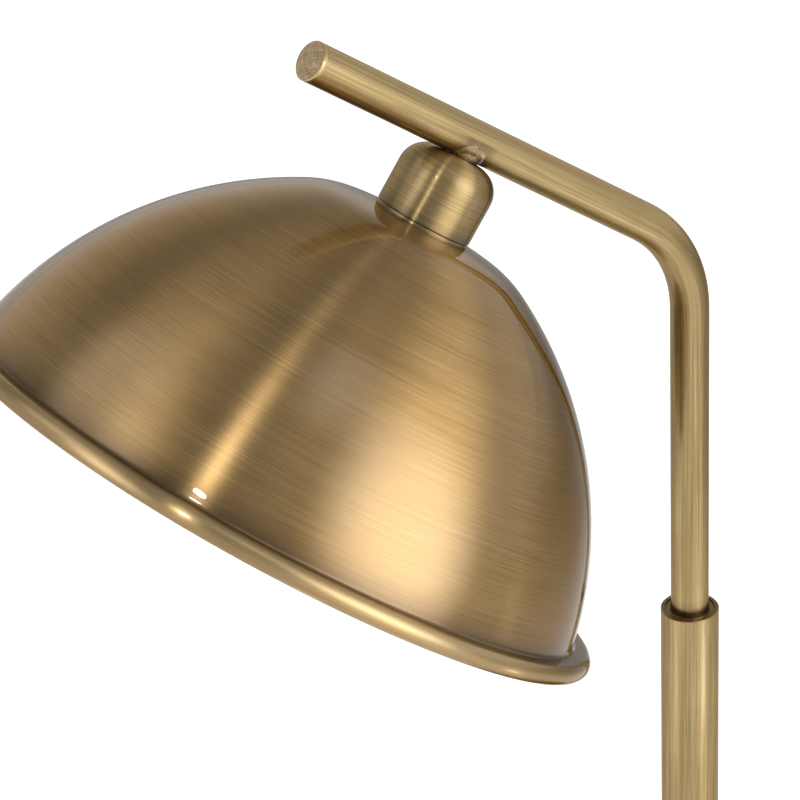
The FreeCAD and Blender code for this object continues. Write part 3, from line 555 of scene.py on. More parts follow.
def brush_again(mesh, lengthwise=False, patina=None):
    """Writes grain, way and patina from where each point of an upright turned piece is."""
    grain, way, brown = [], [], []
    for vertex in mesh.vertices:
        x, y, z = vertex.co
        radius = math.hypot(x, y)
        around = Vector((-y, x, 0.0)) / max(radius, POLE)
        grain.append((x, y, z if lengthwise else z - radius))
        way.append(Vector((0.0, 0.0, 1.0)) if lengthwise else around)
        brown.append(patina(radius, z) if patina else 0.0)
    write_brushing(mesh, grain, way, brown)


print("drill ready")

# %% [markdown]
# ## The shade
# The dome is one sheet of brass, spun over a form. Its outline is a nearly flat crown, a tighter
# shoulder and a long flank, each arc tangent to the last. At the foot the sheet turns out through a
# small fillet into a short flange and rolls under itself into a hollow bead. All of it is one
# closed profile, so the sheet has its real thickness, and the rolled edge is open underneath as on
# the real shade.

# %% The dome's arcs
CROWN, SHOULDER, FLANK = 0.198, 0.038, 0.12935
CROWN_END, SHOULDER_END = math.radians(7.6), math.radians(27.4)
SHEET = 0.0009
RIM, BEAD, FILLET = 0.1135, 0.0032, 0.0015
LINER_GAP, LINER = 0.0005, 0.0007
CAP_RADIUS, RING_HEIGHT = 0.0160, 0.0009
SHADE_DEPTH = 0.0977

pole = RING_HEIGHT - (CROWN - math.sqrt(CROWN**2 - CAP_RADIUS**2))


def next_centre(centre, reach, turn):
    """The centre of an arc that starts tangent to the last: reach is the radii's difference."""
    return (centre[0] + reach * math.sin(turn), centre[1] + reach * math.cos(turn))


crown_at = (0.0, -(CAP_DROP + pole + CROWN))
shoulder_at = next_centre(crown_at, CROWN - SHOULDER, CROWN_END)
flank_at = next_centre(shoulder_at, SHOULDER - FLANK, SHOULDER_END)


def dome_profile(inset, start_radius, end_height):
    """The dome's outline inside its outer surface, from near the axis down to a height."""
    first = math.degrees(math.asin(start_radius / (CROWN - inset)))
    last = 90 - math.degrees(math.asin((end_height - flank_at[1]) / (FLANK - inset)))
    crown_end, shoulder_end = math.degrees(CROWN_END), math.degrees(SHOULDER_END)
    return (
        arc(crown_at, CROWN - inset, 90 - first, 90 - crown_end, 12)
        + arc(shoulder_at, SHOULDER - inset, 90 - crown_end, 90 - shoulder_end, 14)[1:]
        + arc(flank_at, FLANK - inset, 90 - shoulder_end, 91 - last, 60)[1:]
        + arc(flank_at, FLANK - inset, 91 - last, 90 - last, 10)[1:]
    )


bead_at = (RIM - BEAD, -(CAP_DROP + SHADE_DEPTH))
flange_height = bead_at[1] + BEAD
fillet_height = flange_height + FILLET
fillet_rise = fillet_height - flank_at[1]
fillet_reach = math.sqrt((FLANK + FILLET) ** 2 - fillet_rise**2)
fillet_at = (flank_at[0] + fillet_reach, fillet_height)
lean = math.degrees(math.atan2(fillet_rise, fillet_reach))
fillet_start = fillet_at[1] - FILLET * math.sin(math.radians(lean))
inner_start = fillet_at[1] - (FILLET + SHEET) * math.sin(math.radians(lean))
print("bead centre:", [round(value, 5) for value in bead_at], "lean:", round(lean, 2))

# %% [markdown]
# The outer and the inner outline are the same arcs at two distances, so the sheet is equally thick
# everywhere. Its brown lies in a band above the rim and in a ring round the cap. The rolled edge is
# paler on top and plain underneath: partly wear from hands and cloths, partly a painted highlight
# where light from above falls.

# %% Spin the shade
HOLE = 0.0051
shade_outer = dome_profile(0.0, HOLE, fillet_start)
shade_fillet = arc(fillet_at, FILLET, 180 + lean, 270, 10)
bead_outer = arc(bead_at, BEAD, 90, -180, 44)
bead_inner = arc(bead_at, BEAD - SHEET, -180, 90, 30)
inner_fillet = arc(fillet_at, FILLET + SHEET, 270, 180 + lean, 8)
shade_inner = dome_profile(SHEET, HOLE, inner_start)[::-1]
shade_profile = shade_outer + shade_fillet[1:] + bead_outer
shade_profile += bead_inner + inner_fillet + shade_inner[1:]
flange_start = bead_at[0] - 0.0004


def shade_brown_and_highlight(radius, height):
    """Brown above the rim, a little round the cap. Rolled edge: worn, a painted highlight on top.
    """
    # The rolled edge: paler on top than underneath, partly wear and partly a painted highlight.
    if height < flange_height + 0.0001 and radius > flange_start:
        down = (flange_height - height) / (2 * BEAD)
        return min(1.0, (radius - flange_start) / 0.0012) * (0.45 * down - 0.45)
    at_fillet = near(height, flange_height + 0.0006, 0.0105)
    at_cap = near(radius, CAP_RADIUS, 0.004) * (height > -0.05)
    return min(0.95, 0.7 * at_fillet + 0.5 * at_cap)


turned(
    "shade_brass", shade_profile, shade_brass, "arm", "antique_brass", "shade",
    HEAD, 288, patina=shade_brown_and_highlight,
)

# %% [markdown]
# ## Cap and ring
# The cap over the neck is a small turned cup with a large soft corner. A thin ring sits under it,
# and the dark line between the two is a real gap, whose wall on the ring is painted dark brown as
# well.

# %% Turn the cap and its ring
CAP_HEIGHT, CAP_ROUND, CAP_WALL, GROOVE = 0.0230, 0.0088, 0.001, 0.0004
cap_top = -(CAP_DROP - CAP_HEIGHT)
cap_foot = -CAP_DROP + GROOVE / 2
corner_at = (CAP_RADIUS - CAP_ROUND, cap_top - CAP_ROUND)
edge = 0.00015
cap_profile = (
    [(CAP_RADIUS - CAP_WALL, cap_foot), (CAP_RADIUS - edge, cap_foot)]
    + [(CAP_RADIUS, cap_foot + edge)]
    + arc(corner_at, CAP_ROUND, 0, 90, 24)
    + [(HOLE, cap_top), (HOLE, cap_top - CAP_WALL)]
    + arc(corner_at, CAP_ROUND - CAP_WALL, 90, 0, 14)
)


def cap_brown(radius, height):
    """Brown at the cap's foot and round the neck."""
    at_neck = near(radius, HOLE, 0.0026) * (height > -0.012)
    return min(0.8, 0.5 * near(height, cap_foot, 0.0008) + 0.8 * at_neck)


turned(
    "cap_brass", cap_profile, cap_brass, "arm", "antique_brass", "cap",
    HEAD, 160, patina=cap_brown,
)

ledge = -CAP_DROP - GROOVE / 2
groove_wall = CAP_RADIUS - 0.0007
ring_inside = CAP_RADIUS - 0.004
ring_spigot = CAP_RADIUS - CAP_WALL - 0.00005
crown_drop = CROWN - math.sqrt(CROWN**2 - ring_inside**2)
ring_profile = [
    (CAP_RADIUS, -(CAP_DROP + RING_HEIGHT)),
    (CAP_RADIUS, ledge - 0.0001),
    (CAP_RADIUS - 0.0001, ledge),
    (groove_wall, ledge),
    (groove_wall, cap_foot),
    (ring_spigot, cap_foot),
    (ring_spigot, cap_foot + 0.002),
    (ring_inside, cap_foot + 0.002),
    (ring_inside, -(CAP_DROP + pole + crown_drop)),
]


def ring_brown(radius, height):
    """The groove's wall is all brown, and the ring's outer edge a little."""
    return 0.2 if radius > CAP_RADIUS - 0.0002 else 1.0


turned(
    "cap_ring_brass", ring_profile, spun_brass, "arm", "antique_brass", "cap_ring",
    HEAD, 160, patina=ring_brown,
)

# %% [markdown]
# ## The arm
# The arm is one straight tube that was bent once, round a former. A curve with a bevel could draw
# it. Geometry Nodes are used because the bend's radius stays an input, and because the same tree
# can store each point's place round the tube and along it, which the brushing needs. The tree gets
# the centre line as three corners, rounds the middle one, and sweeps a circle along it. Solidify
# then gives the tube its wall. The tube is brown where it enters the stem and round the neck. Its
# top and outer side are paler: a painted highlight where light from above falls, and a little wear
# from hands.

# %% Geometry Nodes helpers


def shape_tree(name, sizes):
    """A tree with named inputs. Returns the tree, its input sockets and its output node."""
    tree = bpy.data.node_groups.new(name, "GeometryNodeTree")
    tree.interface.new_socket("Geometry", in_out="INPUT", socket_type="NodeSocketGeometry")
    for label, kind in sizes.items():
        tree.interface.new_socket(label, in_out="INPUT", socket_type=f"NodeSocket{kind}")
    tree.interface.new_socket("Geometry", in_out="OUTPUT", socket_type="NodeSocketGeometry")
    return tree, add(tree, "NodeGroupInput").outputs, add(tree, "NodeGroupOutput")


def end_tree(tree, made, given, output):
    """Ends a tree with real geometry that carries its finish."""
    real = add(tree, "GeometryNodeRealizeInstances", {"Geometry": made}).outputs[0]
    inputs = {"Geometry": real, "Material": given["Finish"]}
    dressed = add(tree, "GeometryNodeSetMaterial", inputs).outputs[0]
    tree.links.new(dressed, output.inputs[0])
    return tree


def store(tree, geometry, name, kind, value):
    """Stores a named attribute on the points."""
    inputs = {"Geometry": geometry, "Name": name, "Value": value}
    settings = {"data_type": kind, "domain": "POINT"}
    return add(tree, "GeometryNodeStoreNamedAttribute", inputs, **settings).outputs[0]


def read(tree, name, kind):
    """Reads a named attribute."""
    inputs = {"Name": name}
    return add(tree, "GeometryNodeInputNamedAttribute", inputs, data_type=kind).outputs[0]


def grow(name, mesh, tree, values, wall=0.0):
    """Runs a tree on a mesh with its inputs set, and returns the plain mesh that it makes."""
    maker = bpy.data.objects.new(name, mesh)
    bpy.context.scene.collection.objects.link(maker)
    modifier = maker.modifiers.new(name, "NODES")
    modifier.node_group = tree
    for item in tree.interface.items_tree:
        if item.in_out == "INPUT" and item.name in values:
            modifier[item.identifier] = values[item.name]
    if wall:
        sheet = maker.modifiers.new("wall", "SOLIDIFY")
        sheet.thickness, sheet.offset, sheet.use_even_offset = wall, -1.0, True
    depsgraph = bpy.context.evaluated_depsgraph_get()
    made = bpy.data.meshes.new_from_object(maker.evaluated_get(depsgraph), depsgraph=depsgraph)
    bpy.data.objects.remove(maker)
    print(f"{name}: {len(made.polygons)} faces")
    return made


print("geometry helpers ready")

# %% [markdown]
# Fillet Curve rounds the corner as the former did, Resample Curve spaces the rings evenly, and
# Curve to Mesh sweeps the circle. What is stored on the line and on the circle is passed on to the
# tube.

# %% The bent tube's tree


def bent_tube_tree():
    """Sweeps a circle along a line of corners, with each inner corner rounded."""
    sizes = {"Bend Radius": "Float", "Tube Radius": "Float", "Ring Spacing": "Float"}
    sizes |= {"Bend Steps": "Int", "Sides": "Int", "Finish": "Material"}
    tree, given, output = shape_tree("bent_tube", sizes)
    route = add(tree, "GeometryNodeMeshToCurve", {"Mesh": given["Geometry"]}).outputs[0]
    bend = {"Curve": route, "Radius": given["Bend Radius"], "Count": given["Bend Steps"]}
    route = add(tree, "GeometryNodeFilletCurve", bend, mode="POLY").outputs[0]
    spacing = {"Curve": route, "Length": given["Ring Spacing"]}
    route = add(tree, "GeometryNodeResampleCurve", spacing, mode="LENGTH").outputs[0]
    length = add(tree, "GeometryNodeSplineParameter").outputs["Length"]
    route = store(tree, route, "along", "FLOAT", length)
    tangent = add(tree, "GeometryNodeInputTangent").outputs[0]
    route = store(tree, route, "way", "FLOAT_VECTOR", tangent)
    circle = {"Resolution": given["Sides"], "Radius": given["Tube Radius"]}
    section = add(tree, "GeometryNodeCurvePrimitiveCircle", circle).outputs[0]
    position = add(tree, "GeometryNodeInputPosition").outputs[0]
    section = store(tree, section, "spot", "FLOAT_VECTOR", position)
    sweep = {"Curve": route, "Profile Curve": section}
    tube = add(tree, "GeometryNodeCurveToMesh", sweep).outputs[0]
    spot = add(tree, "ShaderNodeSeparateXYZ", {0: read(tree, "spot", "FLOAT_VECTOR")}).outputs
    unrolled = {"X": spot["X"], "Y": spot["Y"], "Z": read(tree, "along", "FLOAT")}
    unrolled = add(tree, "ShaderNodeCombineXYZ", unrolled).outputs[0]
    tube = store(tree, tube, "grain", "FLOAT_VECTOR", unrolled)
    return end_tree(tree, tube, given, output)


def line_mesh(name, corners):
    """Points joined by edges."""
    mesh = bpy.data.meshes.new(name)
    mesh.from_pydata(corners, [(index, index + 1) for index in range(len(corners) - 1)], [])
    return mesh


print("bent tube tree ready")

# %% [markdown]
# The arm starts inside the stem and ends at its plug. Its brown and the painted highlight on its
# top and outer side depend on where a point ends up, so they are worked out after the tube has been
# made.

# %% Bend the arm
PLUG_DISC = 0.0016
JOURNAL_TOP = 0.185
free_end = -(BAR_LENGTH - NECK_REACH) + PLUG_DISC
arm_corners = [Vector((0.0, 0.0, JOURNAL_TOP)), CORNER, HEAD @ Vector((free_end, 0.0, 0.0))]
arm_sizes = {
    "Bend Radius": BEND_RADIUS,
    "Tube Radius": ARM_RADIUS,
    "Bend Steps": 48,
    "Ring Spacing": 0.003,
    "Sides": 96,
    "Finish": drawn_brass,
}
arm_line = line_mesh("arm_line", arm_corners)
arm_mesh = grow("arm_tube_brass", arm_line, bent_tube_tree(), arm_sizes, ARM_WALL)


def arm_brown_and_highlight(point):
    """Brown at the stem's mouth and the brazed neck; a painted highlight on the top and outside."""
    x, y, z = HEAD.inverted() @ point
    at_stem = near(point.z, STEM_TOP - 0.001, 0.008)
    at_neck = near(math.hypot(x, y * 0.8), 0.0062, 0.0045) * (z < 0.001)
    # Painted highlight: the bar's top and the upright part's outer side are made paler, as if lit
    # from above.
    rubbed_and_lit = 0.5 * max(0.0, max(point.x, z) / ARM_RADIUS) ** 2 * (point.z > STEM_TOP + 0.008)
    return min(0.9, 0.9 * at_stem + 0.7 * at_neck) - rubbed_and_lit


write(arm_mesh, "patina", [arm_brown_and_highlight(vertex.co) for vertex in arm_mesh.vertices])
piece_from_mesh("arm_tube_brass", arm_mesh, drawn_brass, "arm", "antique_brass", "arm_tube")

# %% [markdown]
# The tube's free end is closed by a turned plug, ground flush with the tube. Its side is brushed
# with the tube, its face is scratched, and the small bevel between them shines as a thin pale line.

# %% Plug the free end
PLUG_LENGTH = 0.008
plug_edge = 0.0003
arm_bore = ARM_RADIUS - ARM_WALL
plug_profile = [
    (0.0, -PLUG_LENGTH),
    (arm_bore - plug_edge, -PLUG_LENGTH),
    (arm_bore, plug_edge - PLUG_LENGTH),
    (arm_bore, 0.0),
    (ARM_RADIUS, 0.0),
    (ARM_RADIUS, PLUG_DISC - plug_edge),
    (ARM_RADIUS - plug_edge, PLUG_DISC),
    (0.0, PLUG_DISC),
]
plug_turn = Matrix.Rotation(math.radians(-90), 4, "Y")
PLUG = HEAD @ Matrix.Translation((free_end, 0.0, 0.0)) @ plug_turn


def plug_bright(radius, height):
    """The bevel is worn bright."""
    return -1.0 if height > PLUG_DISC - 1.2 * plug_edge and radius > arm_bore else 0.0


plug = turned(
    "arm_end_plug_brass", plug_profile, drawn_brass, "arm", "antique_brass", "arm_end_plug",
    PLUG, 96, closed=False, patina=plug_bright, lengthwise=True,
)
plug.data.materials.append(disc_brass)
for polygon in plug.data.polygons:
    if polygon.normal.dot(along_bar) > 0.9:
        polygon.material_index = 1

# %% [markdown]
# ## The brazed neck
# The neck is a short threaded tube, brazed into the underside of the bar. The brazing metal ran up
# the bar's sides and set rough and lumpy, and it was never brushed. Its foot is a plain circle and
# its toe lies round the bar, so each point of it is a mix of the two, pushed about by noise and
# kept clear of the bar. Geometry Nodes strew small grains of spilt metal over it.

# %% Rough brazing


def braze_finish():
    """Dull gold and brown metal, rough, with bright specks."""
    material, tree = new_material("braze")
    place = add(tree, "ShaderNodeTexCoord").outputs["Object"]
    lumps = cloud(tree, stretch(tree, place, (480.0, 480.0, 480.0)), 3.0, 0.55)
    specks = cloud(tree, stretch(tree, place, (1900.0, 1900.0, 1900.0)), 2.0, 0.55)
    mixed = times(tree, plus(tree, lumps, specks), 0.5)
    tones = ((0.15, 0.1, 0.046), (0.26, 0.185, 0.088), (0.36, 0.265, 0.13))
    bump = add(tree, "ShaderNodeBump", {"Height": mixed, "Strength": 0.25, "Distance": 0.0003})
    shader = {
        "Base Color": ramp(tree, mixed, (0.34, 0.5, 0.66), tones),
        "Metallic": 1.0,
        "Roughness": between(tree, specks, 0.35, 0.65, 0.3, 0.5),
        "Normal": bump.outputs["Normal"],
        "Coat Weight": 0.6,
        "Coat Roughness": 0.08,
    }
    finish_common(tree, shader)
    return material


braze = braze_finish()
NIPPLE, NIPPLE_BORE, NIPPLE_EDGE = 0.005, 0.00325, 0.0004
NIPPLE_MOUTH, NIPPLE_FOOT = -0.0045, -0.0511
BRAZE_FOOT = 0.0052
TOE_ALONG, TOE_TURN = 0.0071, math.radians(93)
LUMPS = ((420.0, 0.00022), (1300.0, 0.00005))
SWELL, SUNK = 0.0015, 0.0001


def braze_point(turn, share):
    """A point of the brazing, from its foot on the cap, at 0, to its toe on the bar, at 1."""
    cosine, sine = math.cos(turn), math.sin(turn)
    foot = Vector((BRAZE_FOOT * cosine, BRAZE_FOOT * sine, cap_top))
    ragged = 1.0 + 0.1 * noise.noise(Vector((cosine * 2.2, sine * 2.2, 4.0)))
    round_bar = TOE_TURN * ragged * sine
    under = ARM_RADIUS - SUNK
    across, down = under * math.sin(round_bar), -under * math.cos(round_bar)
    point = foot.lerp(Vector((TOE_ALONG * ragged * cosine, across, down)), share)
    rough = share**0.5 * (1.0 - share) ** 0.25
    lump = sum(noise.noise(point * pitch) * height for pitch, height in LUMPS)
    point += Vector((cosine, sine, 0.0)) * lump * rough
    bulging = (SWELL * (1.0 - share) + lump) * ((1.0 - share) * share) ** 0.5
    clear = ARM_RADIUS + bulging - SUNK * share
    from_bar = math.hypot(point.y, point.z)
    if from_bar < clear:
        point.y, point.z = point.y * clear / from_bar, point.z * clear / from_bar
    return point


def neck_mesh(sides=128, steps=26):
    """The nipple's tube and the brazing on it, as one closed mesh."""
    tube = [(NIPPLE_BORE, NIPPLE_MOUTH), (NIPPLE_BORE, NIPPLE_FOOT)]
    tube += [(NIPPLE - NIPPLE_EDGE, NIPPLE_FOOT), (NIPPLE, NIPPLE_FOOT + NIPPLE_EDGE)]
    tube += [(NIPPLE, cap_top - SUNK)]
    turns = [2 * math.pi * side / sides for side in range(sides)]
    rings = [
        [Vector((radius * math.cos(turn), radius * math.sin(turn), height)) for turn in turns]
        for radius, height in tube
    ]
    rings += [[braze_point(turn, step / steps) for turn in turns] for step in range(steps + 1)]
    build = bmesh.new()
    loops = [[build.verts.new(HEAD @ point) for point in ring] for ring in rings]
    for lower, upper in zip(loops, loops[1:] + loops[:1]):
        join_rings(build, lower, upper)
    return mesh_of(build, "neck_braze")


neck = piece_from_mesh("neck_braze", neck_mesh(), braze, "arm", "plain_brass", "neck")
print("neck faces:", len(neck.data.polygons))

# %% [markdown]
# Brazing leaves fine round grains about the joint. Each could be placed by hand, but strewn points
# look less arranged, and their seed puts them in the same places every time.

# %% Grains of spilt metal


def braze_grain_tree():
    """Strews small round grains on a surface."""
    sizes = {"Density": "Float", "Smallest": "Float", "Largest": "Float", "Seed": "Int"}
    tree, given, output = shape_tree("braze_grains", {**sizes, "Finish": "Material"})
    spread = {"Mesh": given["Geometry"], "Density": given["Density"], "Seed": given["Seed"]}
    points = add(tree, "GeometryNodeDistributePointsOnFaces", spread).outputs[0]
    ball = {"Radius": 1.0, "Subdivisions": 2}
    grain = add(tree, "GeometryNodeMeshIcoSphere", ball).outputs[0]
    limits = {2: given["Smallest"], 3: given["Largest"]}
    size = add(tree, "FunctionNodeRandomValue", limits, data_type="FLOAT").outputs[1]
    copies = {"Points": points, "Instance": grain, "Scale": size}
    strewn = add(tree, "GeometryNodeInstanceOnPoints", copies).outputs[0]
    return end_tree(tree, strewn, given, output)


def braze_patch(sides=64, steps=10):
    """The part of the brazing that grains stick to."""
    points, faces = [], []
    for row in range(steps + 1):
        for side in range(sides):
            turn = 2 * math.pi * side / sides
            points.append(HEAD @ braze_point(turn, 0.1 + 0.8 * row / steps))
    for row in range(steps):
        low, high = row * sides, (row + 1) * sides
        for side in range(sides):
            after = (side + 1) % sides
            faces.append((low + side, low + after, high + after, high + side))
    mesh = bpy.data.meshes.new("braze_patch")
    mesh.from_pydata(points, [], faces)
    return mesh


grain_sizes = {"Density": 0.5e6, "Smallest": 0.00008, "Largest": 0.00024, "Seed": 7}
grain_sizes["Finish"] = braze
grains = grow("braze_grains", braze_patch(), braze_grain_tree(), grain_sizes)
piece_from_mesh("braze_grains", grains, braze, "arm", "plain_brass")

# %% [markdown]
# ## The stem
# The stem is a wider tube, brushed lengthwise like the arm. A thin bush lines its mouth, and the
# arm turns in it. Both have brown on their top faces, where the collar's ring shows round the arm.
# A small turned flange covers its foot.

# %% Turn the stem, its bush and its flange
BASE_TOP = 0.024
stem_bore = STEM_RADIUS - STEM_WALL
stem_edge = 0.0003
stem_profile = [
    (stem_bore, BASE_TOP),
    (STEM_RADIUS, BASE_TOP),
    (STEM_RADIUS, STEM_TOP - stem_edge),
    (STEM_RADIUS - stem_edge, STEM_TOP),
    (stem_bore, STEM_TOP),
]


def stem_brown(radius, height):
    """Brown on the stem's top face and just above its flange."""
    at_top = 0.25 * (height > STEM_TOP - 0.0001)
    return min(0.8, at_top + 0.6 * near(height, BASE_TOP + 0.006, 0.008))


STOP_HEIGHT, STOP_RADIUS = 0.1723, 0.0015
stem_mesh = lathe("stem_tube_brass", stem_profile, segments=128, lengthwise=True)
stop_hole = ((0.0, 0.005, STOP_HEIGHT), (0.0, 0.015, STOP_HEIGHT), STOP_RADIUS)
stem_mesh = drill(stem_mesh, [stop_hole])
brush_again(stem_mesh, lengthwise=True, patina=stem_brown)
piece_from_mesh("stem_tube_brass", stem_mesh, drawn_brass, "stand", "antique_brass", "stem_tube")

bush_top, bush_length, running_gap = STEM_TOP - 0.0004, 0.020, 0.00005
bush_bore = ARM_RADIUS + running_gap
bush_profile = soften(
    [
        (bush_bore, bush_top - bush_length),
        (stem_bore, bush_top - bush_length),
        (stem_bore, bush_top),
        (bush_bore, bush_top),
    ],
    0.00025,
)
turned(
    "top_bush_brass", bush_profile, spun_brass, "stand", "plain_brass", "top_bush",
    segments=96, patina=lambda radius, height: 0.15,
)

flange_bore, flange_rim = STEM_RADIUS + 0.00005, STEM_RADIUS + 0.009
flange_step, flange_round = 0.002, 0.005
flange_profile = soften(
    [(flange_bore, BASE_TOP), (flange_rim, BASE_TOP)]
    + arc((flange_rim - flange_round, BASE_TOP + flange_step), flange_round, 0, 90, 14)
    + [(flange_bore, BASE_TOP + flange_step + flange_round)],
    0.0002,
)


def flange_brown(radius, height):
    """Brown in the corner between the flange and the cover, and round the stem."""
    return min(0.7, 0.6 * near(height, BASE_TOP, 0.0014) + 0.5 * near(radius, STEM_RADIUS, 0.0016))


turned(
    "stem_flange_brass", flange_profile, spun_brass, "stand", "antique_brass", "stem_flange",
    segments=128, patina=flange_brown,
)

# %% [markdown]
# ## The base
# The base's cover is spun from one sheet, like the shade: a flat top, a long soft shoulder and a
# rounded edge. It is drilled for the push button's bezel in front and for the cord inlet behind.

# %% Spin and drill the base cover
BASE_RADIUS, BASE_FLAT, BASE_SHOULDER, BASE_EDGE = 0.100, 0.080, 0.060, 0.007
BASE_WALL, COVER_FOOT, COVER_BORE = 0.0012, 0.0018, 0.0053
BUTTON_PLACE, INLET_HEIGHT = 0.062, 0.010
edge_reach = BASE_RADIUS - BASE_EDGE
apart = BASE_SHOULDER - BASE_EDGE
shoulder_drop = math.sqrt(apart**2 - (edge_reach - BASE_FLAT) ** 2)
shoulder_height = BASE_TOP - BASE_SHOULDER
touch = math.degrees(math.atan2(shoulder_drop, edge_reach - BASE_FLAT))


def cover_side(inset):
    """The cover's shoulder and edge, from the flat top down to its foot."""
    return (
        arc((BASE_FLAT, shoulder_height), BASE_SHOULDER - inset, 90, touch, 10)
        + arc((edge_reach, shoulder_height + shoulder_drop), BASE_EDGE - inset, touch, 0, 16)[1:]
        + [(BASE_RADIUS - inset, COVER_FOOT)]
    )


cover_profile = [(COVER_BORE, BASE_TOP)] + cover_side(0.0)
cover_profile += cover_side(BASE_WALL)[::-1] + [(COVER_BORE, BASE_TOP - BASE_WALL)]


def cover_brown(radius, height):
    """Brown along the foot and round the flange."""
    return min(0.7, 0.6 * near(height, COVER_FOOT, 0.003) + 0.55 * near(radius, flange_rim, 0.0035))


cover_mesh = lathe("base_cover_brass", cover_profile, segments=256)
button_hole = ((0.0, -BUTTON_PLACE, 0.018), (0.0, -BUTTON_PLACE, 0.030), 0.0112)
inlet_hole = ((0.0, 0.090, INLET_HEIGHT), (0.0, 0.110, INLET_HEIGHT), 0.0051)
cover_mesh = drill(cover_mesh, [button_hole, inlet_hole])
brush_again(cover_mesh, patina=cover_brown)
piece_from_mesh("base_cover_brass", cover_mesh, spun_brass, "stand", "antique_brass", "base_cover")

# %% [markdown]
# The push button is a brass disc with a shallow dish for the fingertip, in a turned bezel. Both are
# brushed round their own axis, so the lathe turns them about a place in front of the stem.

# %% Turn the push button and its bezel
WEIGHT_TOP = 0.016
BUTTON_RADIUS, BUTTON_TOP, BUTTON_EDGE, DISH = 0.009, 0.0266, 0.001, 0.0004
IN_FRONT = Matrix.Translation((0.0, -BUTTON_PLACE, 0.0))
dish_reach = BUTTON_RADIUS - BUTTON_EDGE - 0.0004
dish_radius = (dish_reach**2 + DISH**2) / (2 * DISH)
dish_turn = math.degrees(math.asin(dish_reach / dish_radius))
PIN, PIN_EDGE, SPRING_ROOM = 0.0015, 0.0002, 0.005
pin_foot = WEIGHT_TOP - 0.0015
room_top, skirt_foot = WEIGHT_TOP + 0.007, WEIGHT_TOP + 0.0043
button_profile = (
    [(0.0, pin_foot), (PIN - PIN_EDGE, pin_foot), (PIN, pin_foot + PIN_EDGE)]
    + [(PIN, room_top), (SPRING_ROOM, room_top)]
    + [(SPRING_ROOM, skirt_foot), (BUTTON_RADIUS, skirt_foot)]
    + arc((BUTTON_RADIUS - BUTTON_EDGE, BUTTON_TOP - BUTTON_EDGE), BUTTON_EDGE, 0, 90, 8)
    + arc((0.0, BUTTON_TOP - DISH + dish_radius), dish_radius, -90 + dish_turn, -90, 8)
)
turned(
    "push_button_brass", button_profile, spun_brass, "button", "antique_brass", "push_button",
    IN_FRONT, 96, closed=False,
)

bezel_hole, bezel_neck, bezel_rim = BUTTON_RADIUS + 0.0003, 0.011, 0.0125
shelf_reach, shelf_foot, shelf_top = 0.007, WEIGHT_TOP + 0.0015, WEIGHT_TOP + 0.0023
rim_top, rim_bevel = BASE_TOP + 0.0012, 0.0006
bezel_profile = soften(
    [
        (shelf_reach, shelf_foot),
        (bezel_hole, shelf_foot),
        (bezel_hole, WEIGHT_TOP),
        (bezel_neck, WEIGHT_TOP),
        (bezel_neck, BASE_TOP),
        (bezel_rim, BASE_TOP),
        (bezel_rim, rim_top - rim_bevel),
        (bezel_rim - rim_bevel, rim_top),
        (bezel_hole, rim_top),
        (bezel_hole, shelf_top),
        (shelf_reach, shelf_top),
    ],
    0.00015,
)


def bezel_brown(radius, height):
    """Brown at the bezel's foot and down its bore."""
    return min(0.7, 0.6 * near(height, BASE_TOP, 0.0005) + 0.5 * (height < BASE_TOP))


turned(
    "switch_bezel_brass", bezel_profile, spun_brass, "stand", "plain_brass", "switch_bezel",
    IN_FRONT, 96, patina=bezel_brown,
)

# %% [markdown]
# ## Plain finishes
# The other materials are a family of their own: each is one base colour broken up by soft noise,
# with a fine bump for its skin. A cast piece is coarse and dark, an enamelled one has the faint
# ripple of sprayed paint, rubber is matt with a fine grain. Only a few numbers change from one to
# the next, so one function makes them.

# %% The plain finishes


def plain_finish(name, dark, pale, grain_size, bump_height, roughness, metal=0.0, more=None):
    """A finish of two close tones in soft patches with a fine skin."""
    material, tree = new_material(name)
    place = add(tree, "ShaderNodeTexCoord").outputs["Object"]
    patches = cloud(tree, stretch(tree, place, (60.0, 60.0, 60.0)), 3.0, 0.55)
    skin = cloud(tree, stretch(tree, place, (1.0 / grain_size,) * 3), 3.0, 0.55)
    mixed = times(tree, plus(tree, patches, skin), 0.5)
    bump = add(tree, "ShaderNodeBump", {"Height": skin, "Strength": 0.5, "Distance": bump_height})
    shader = {
        "Base Color": ramp(tree, mixed, (0.38, 0.62), (dark, pale)),
        "Metallic": metal,
        "Roughness": between(tree, skin, 0.3, 0.7, roughness - 0.06, roughness + 0.06),
        "Normal": bump.outputs["Normal"],
    }
    finish_common(tree, {**shader, **(more or {})})
    return material


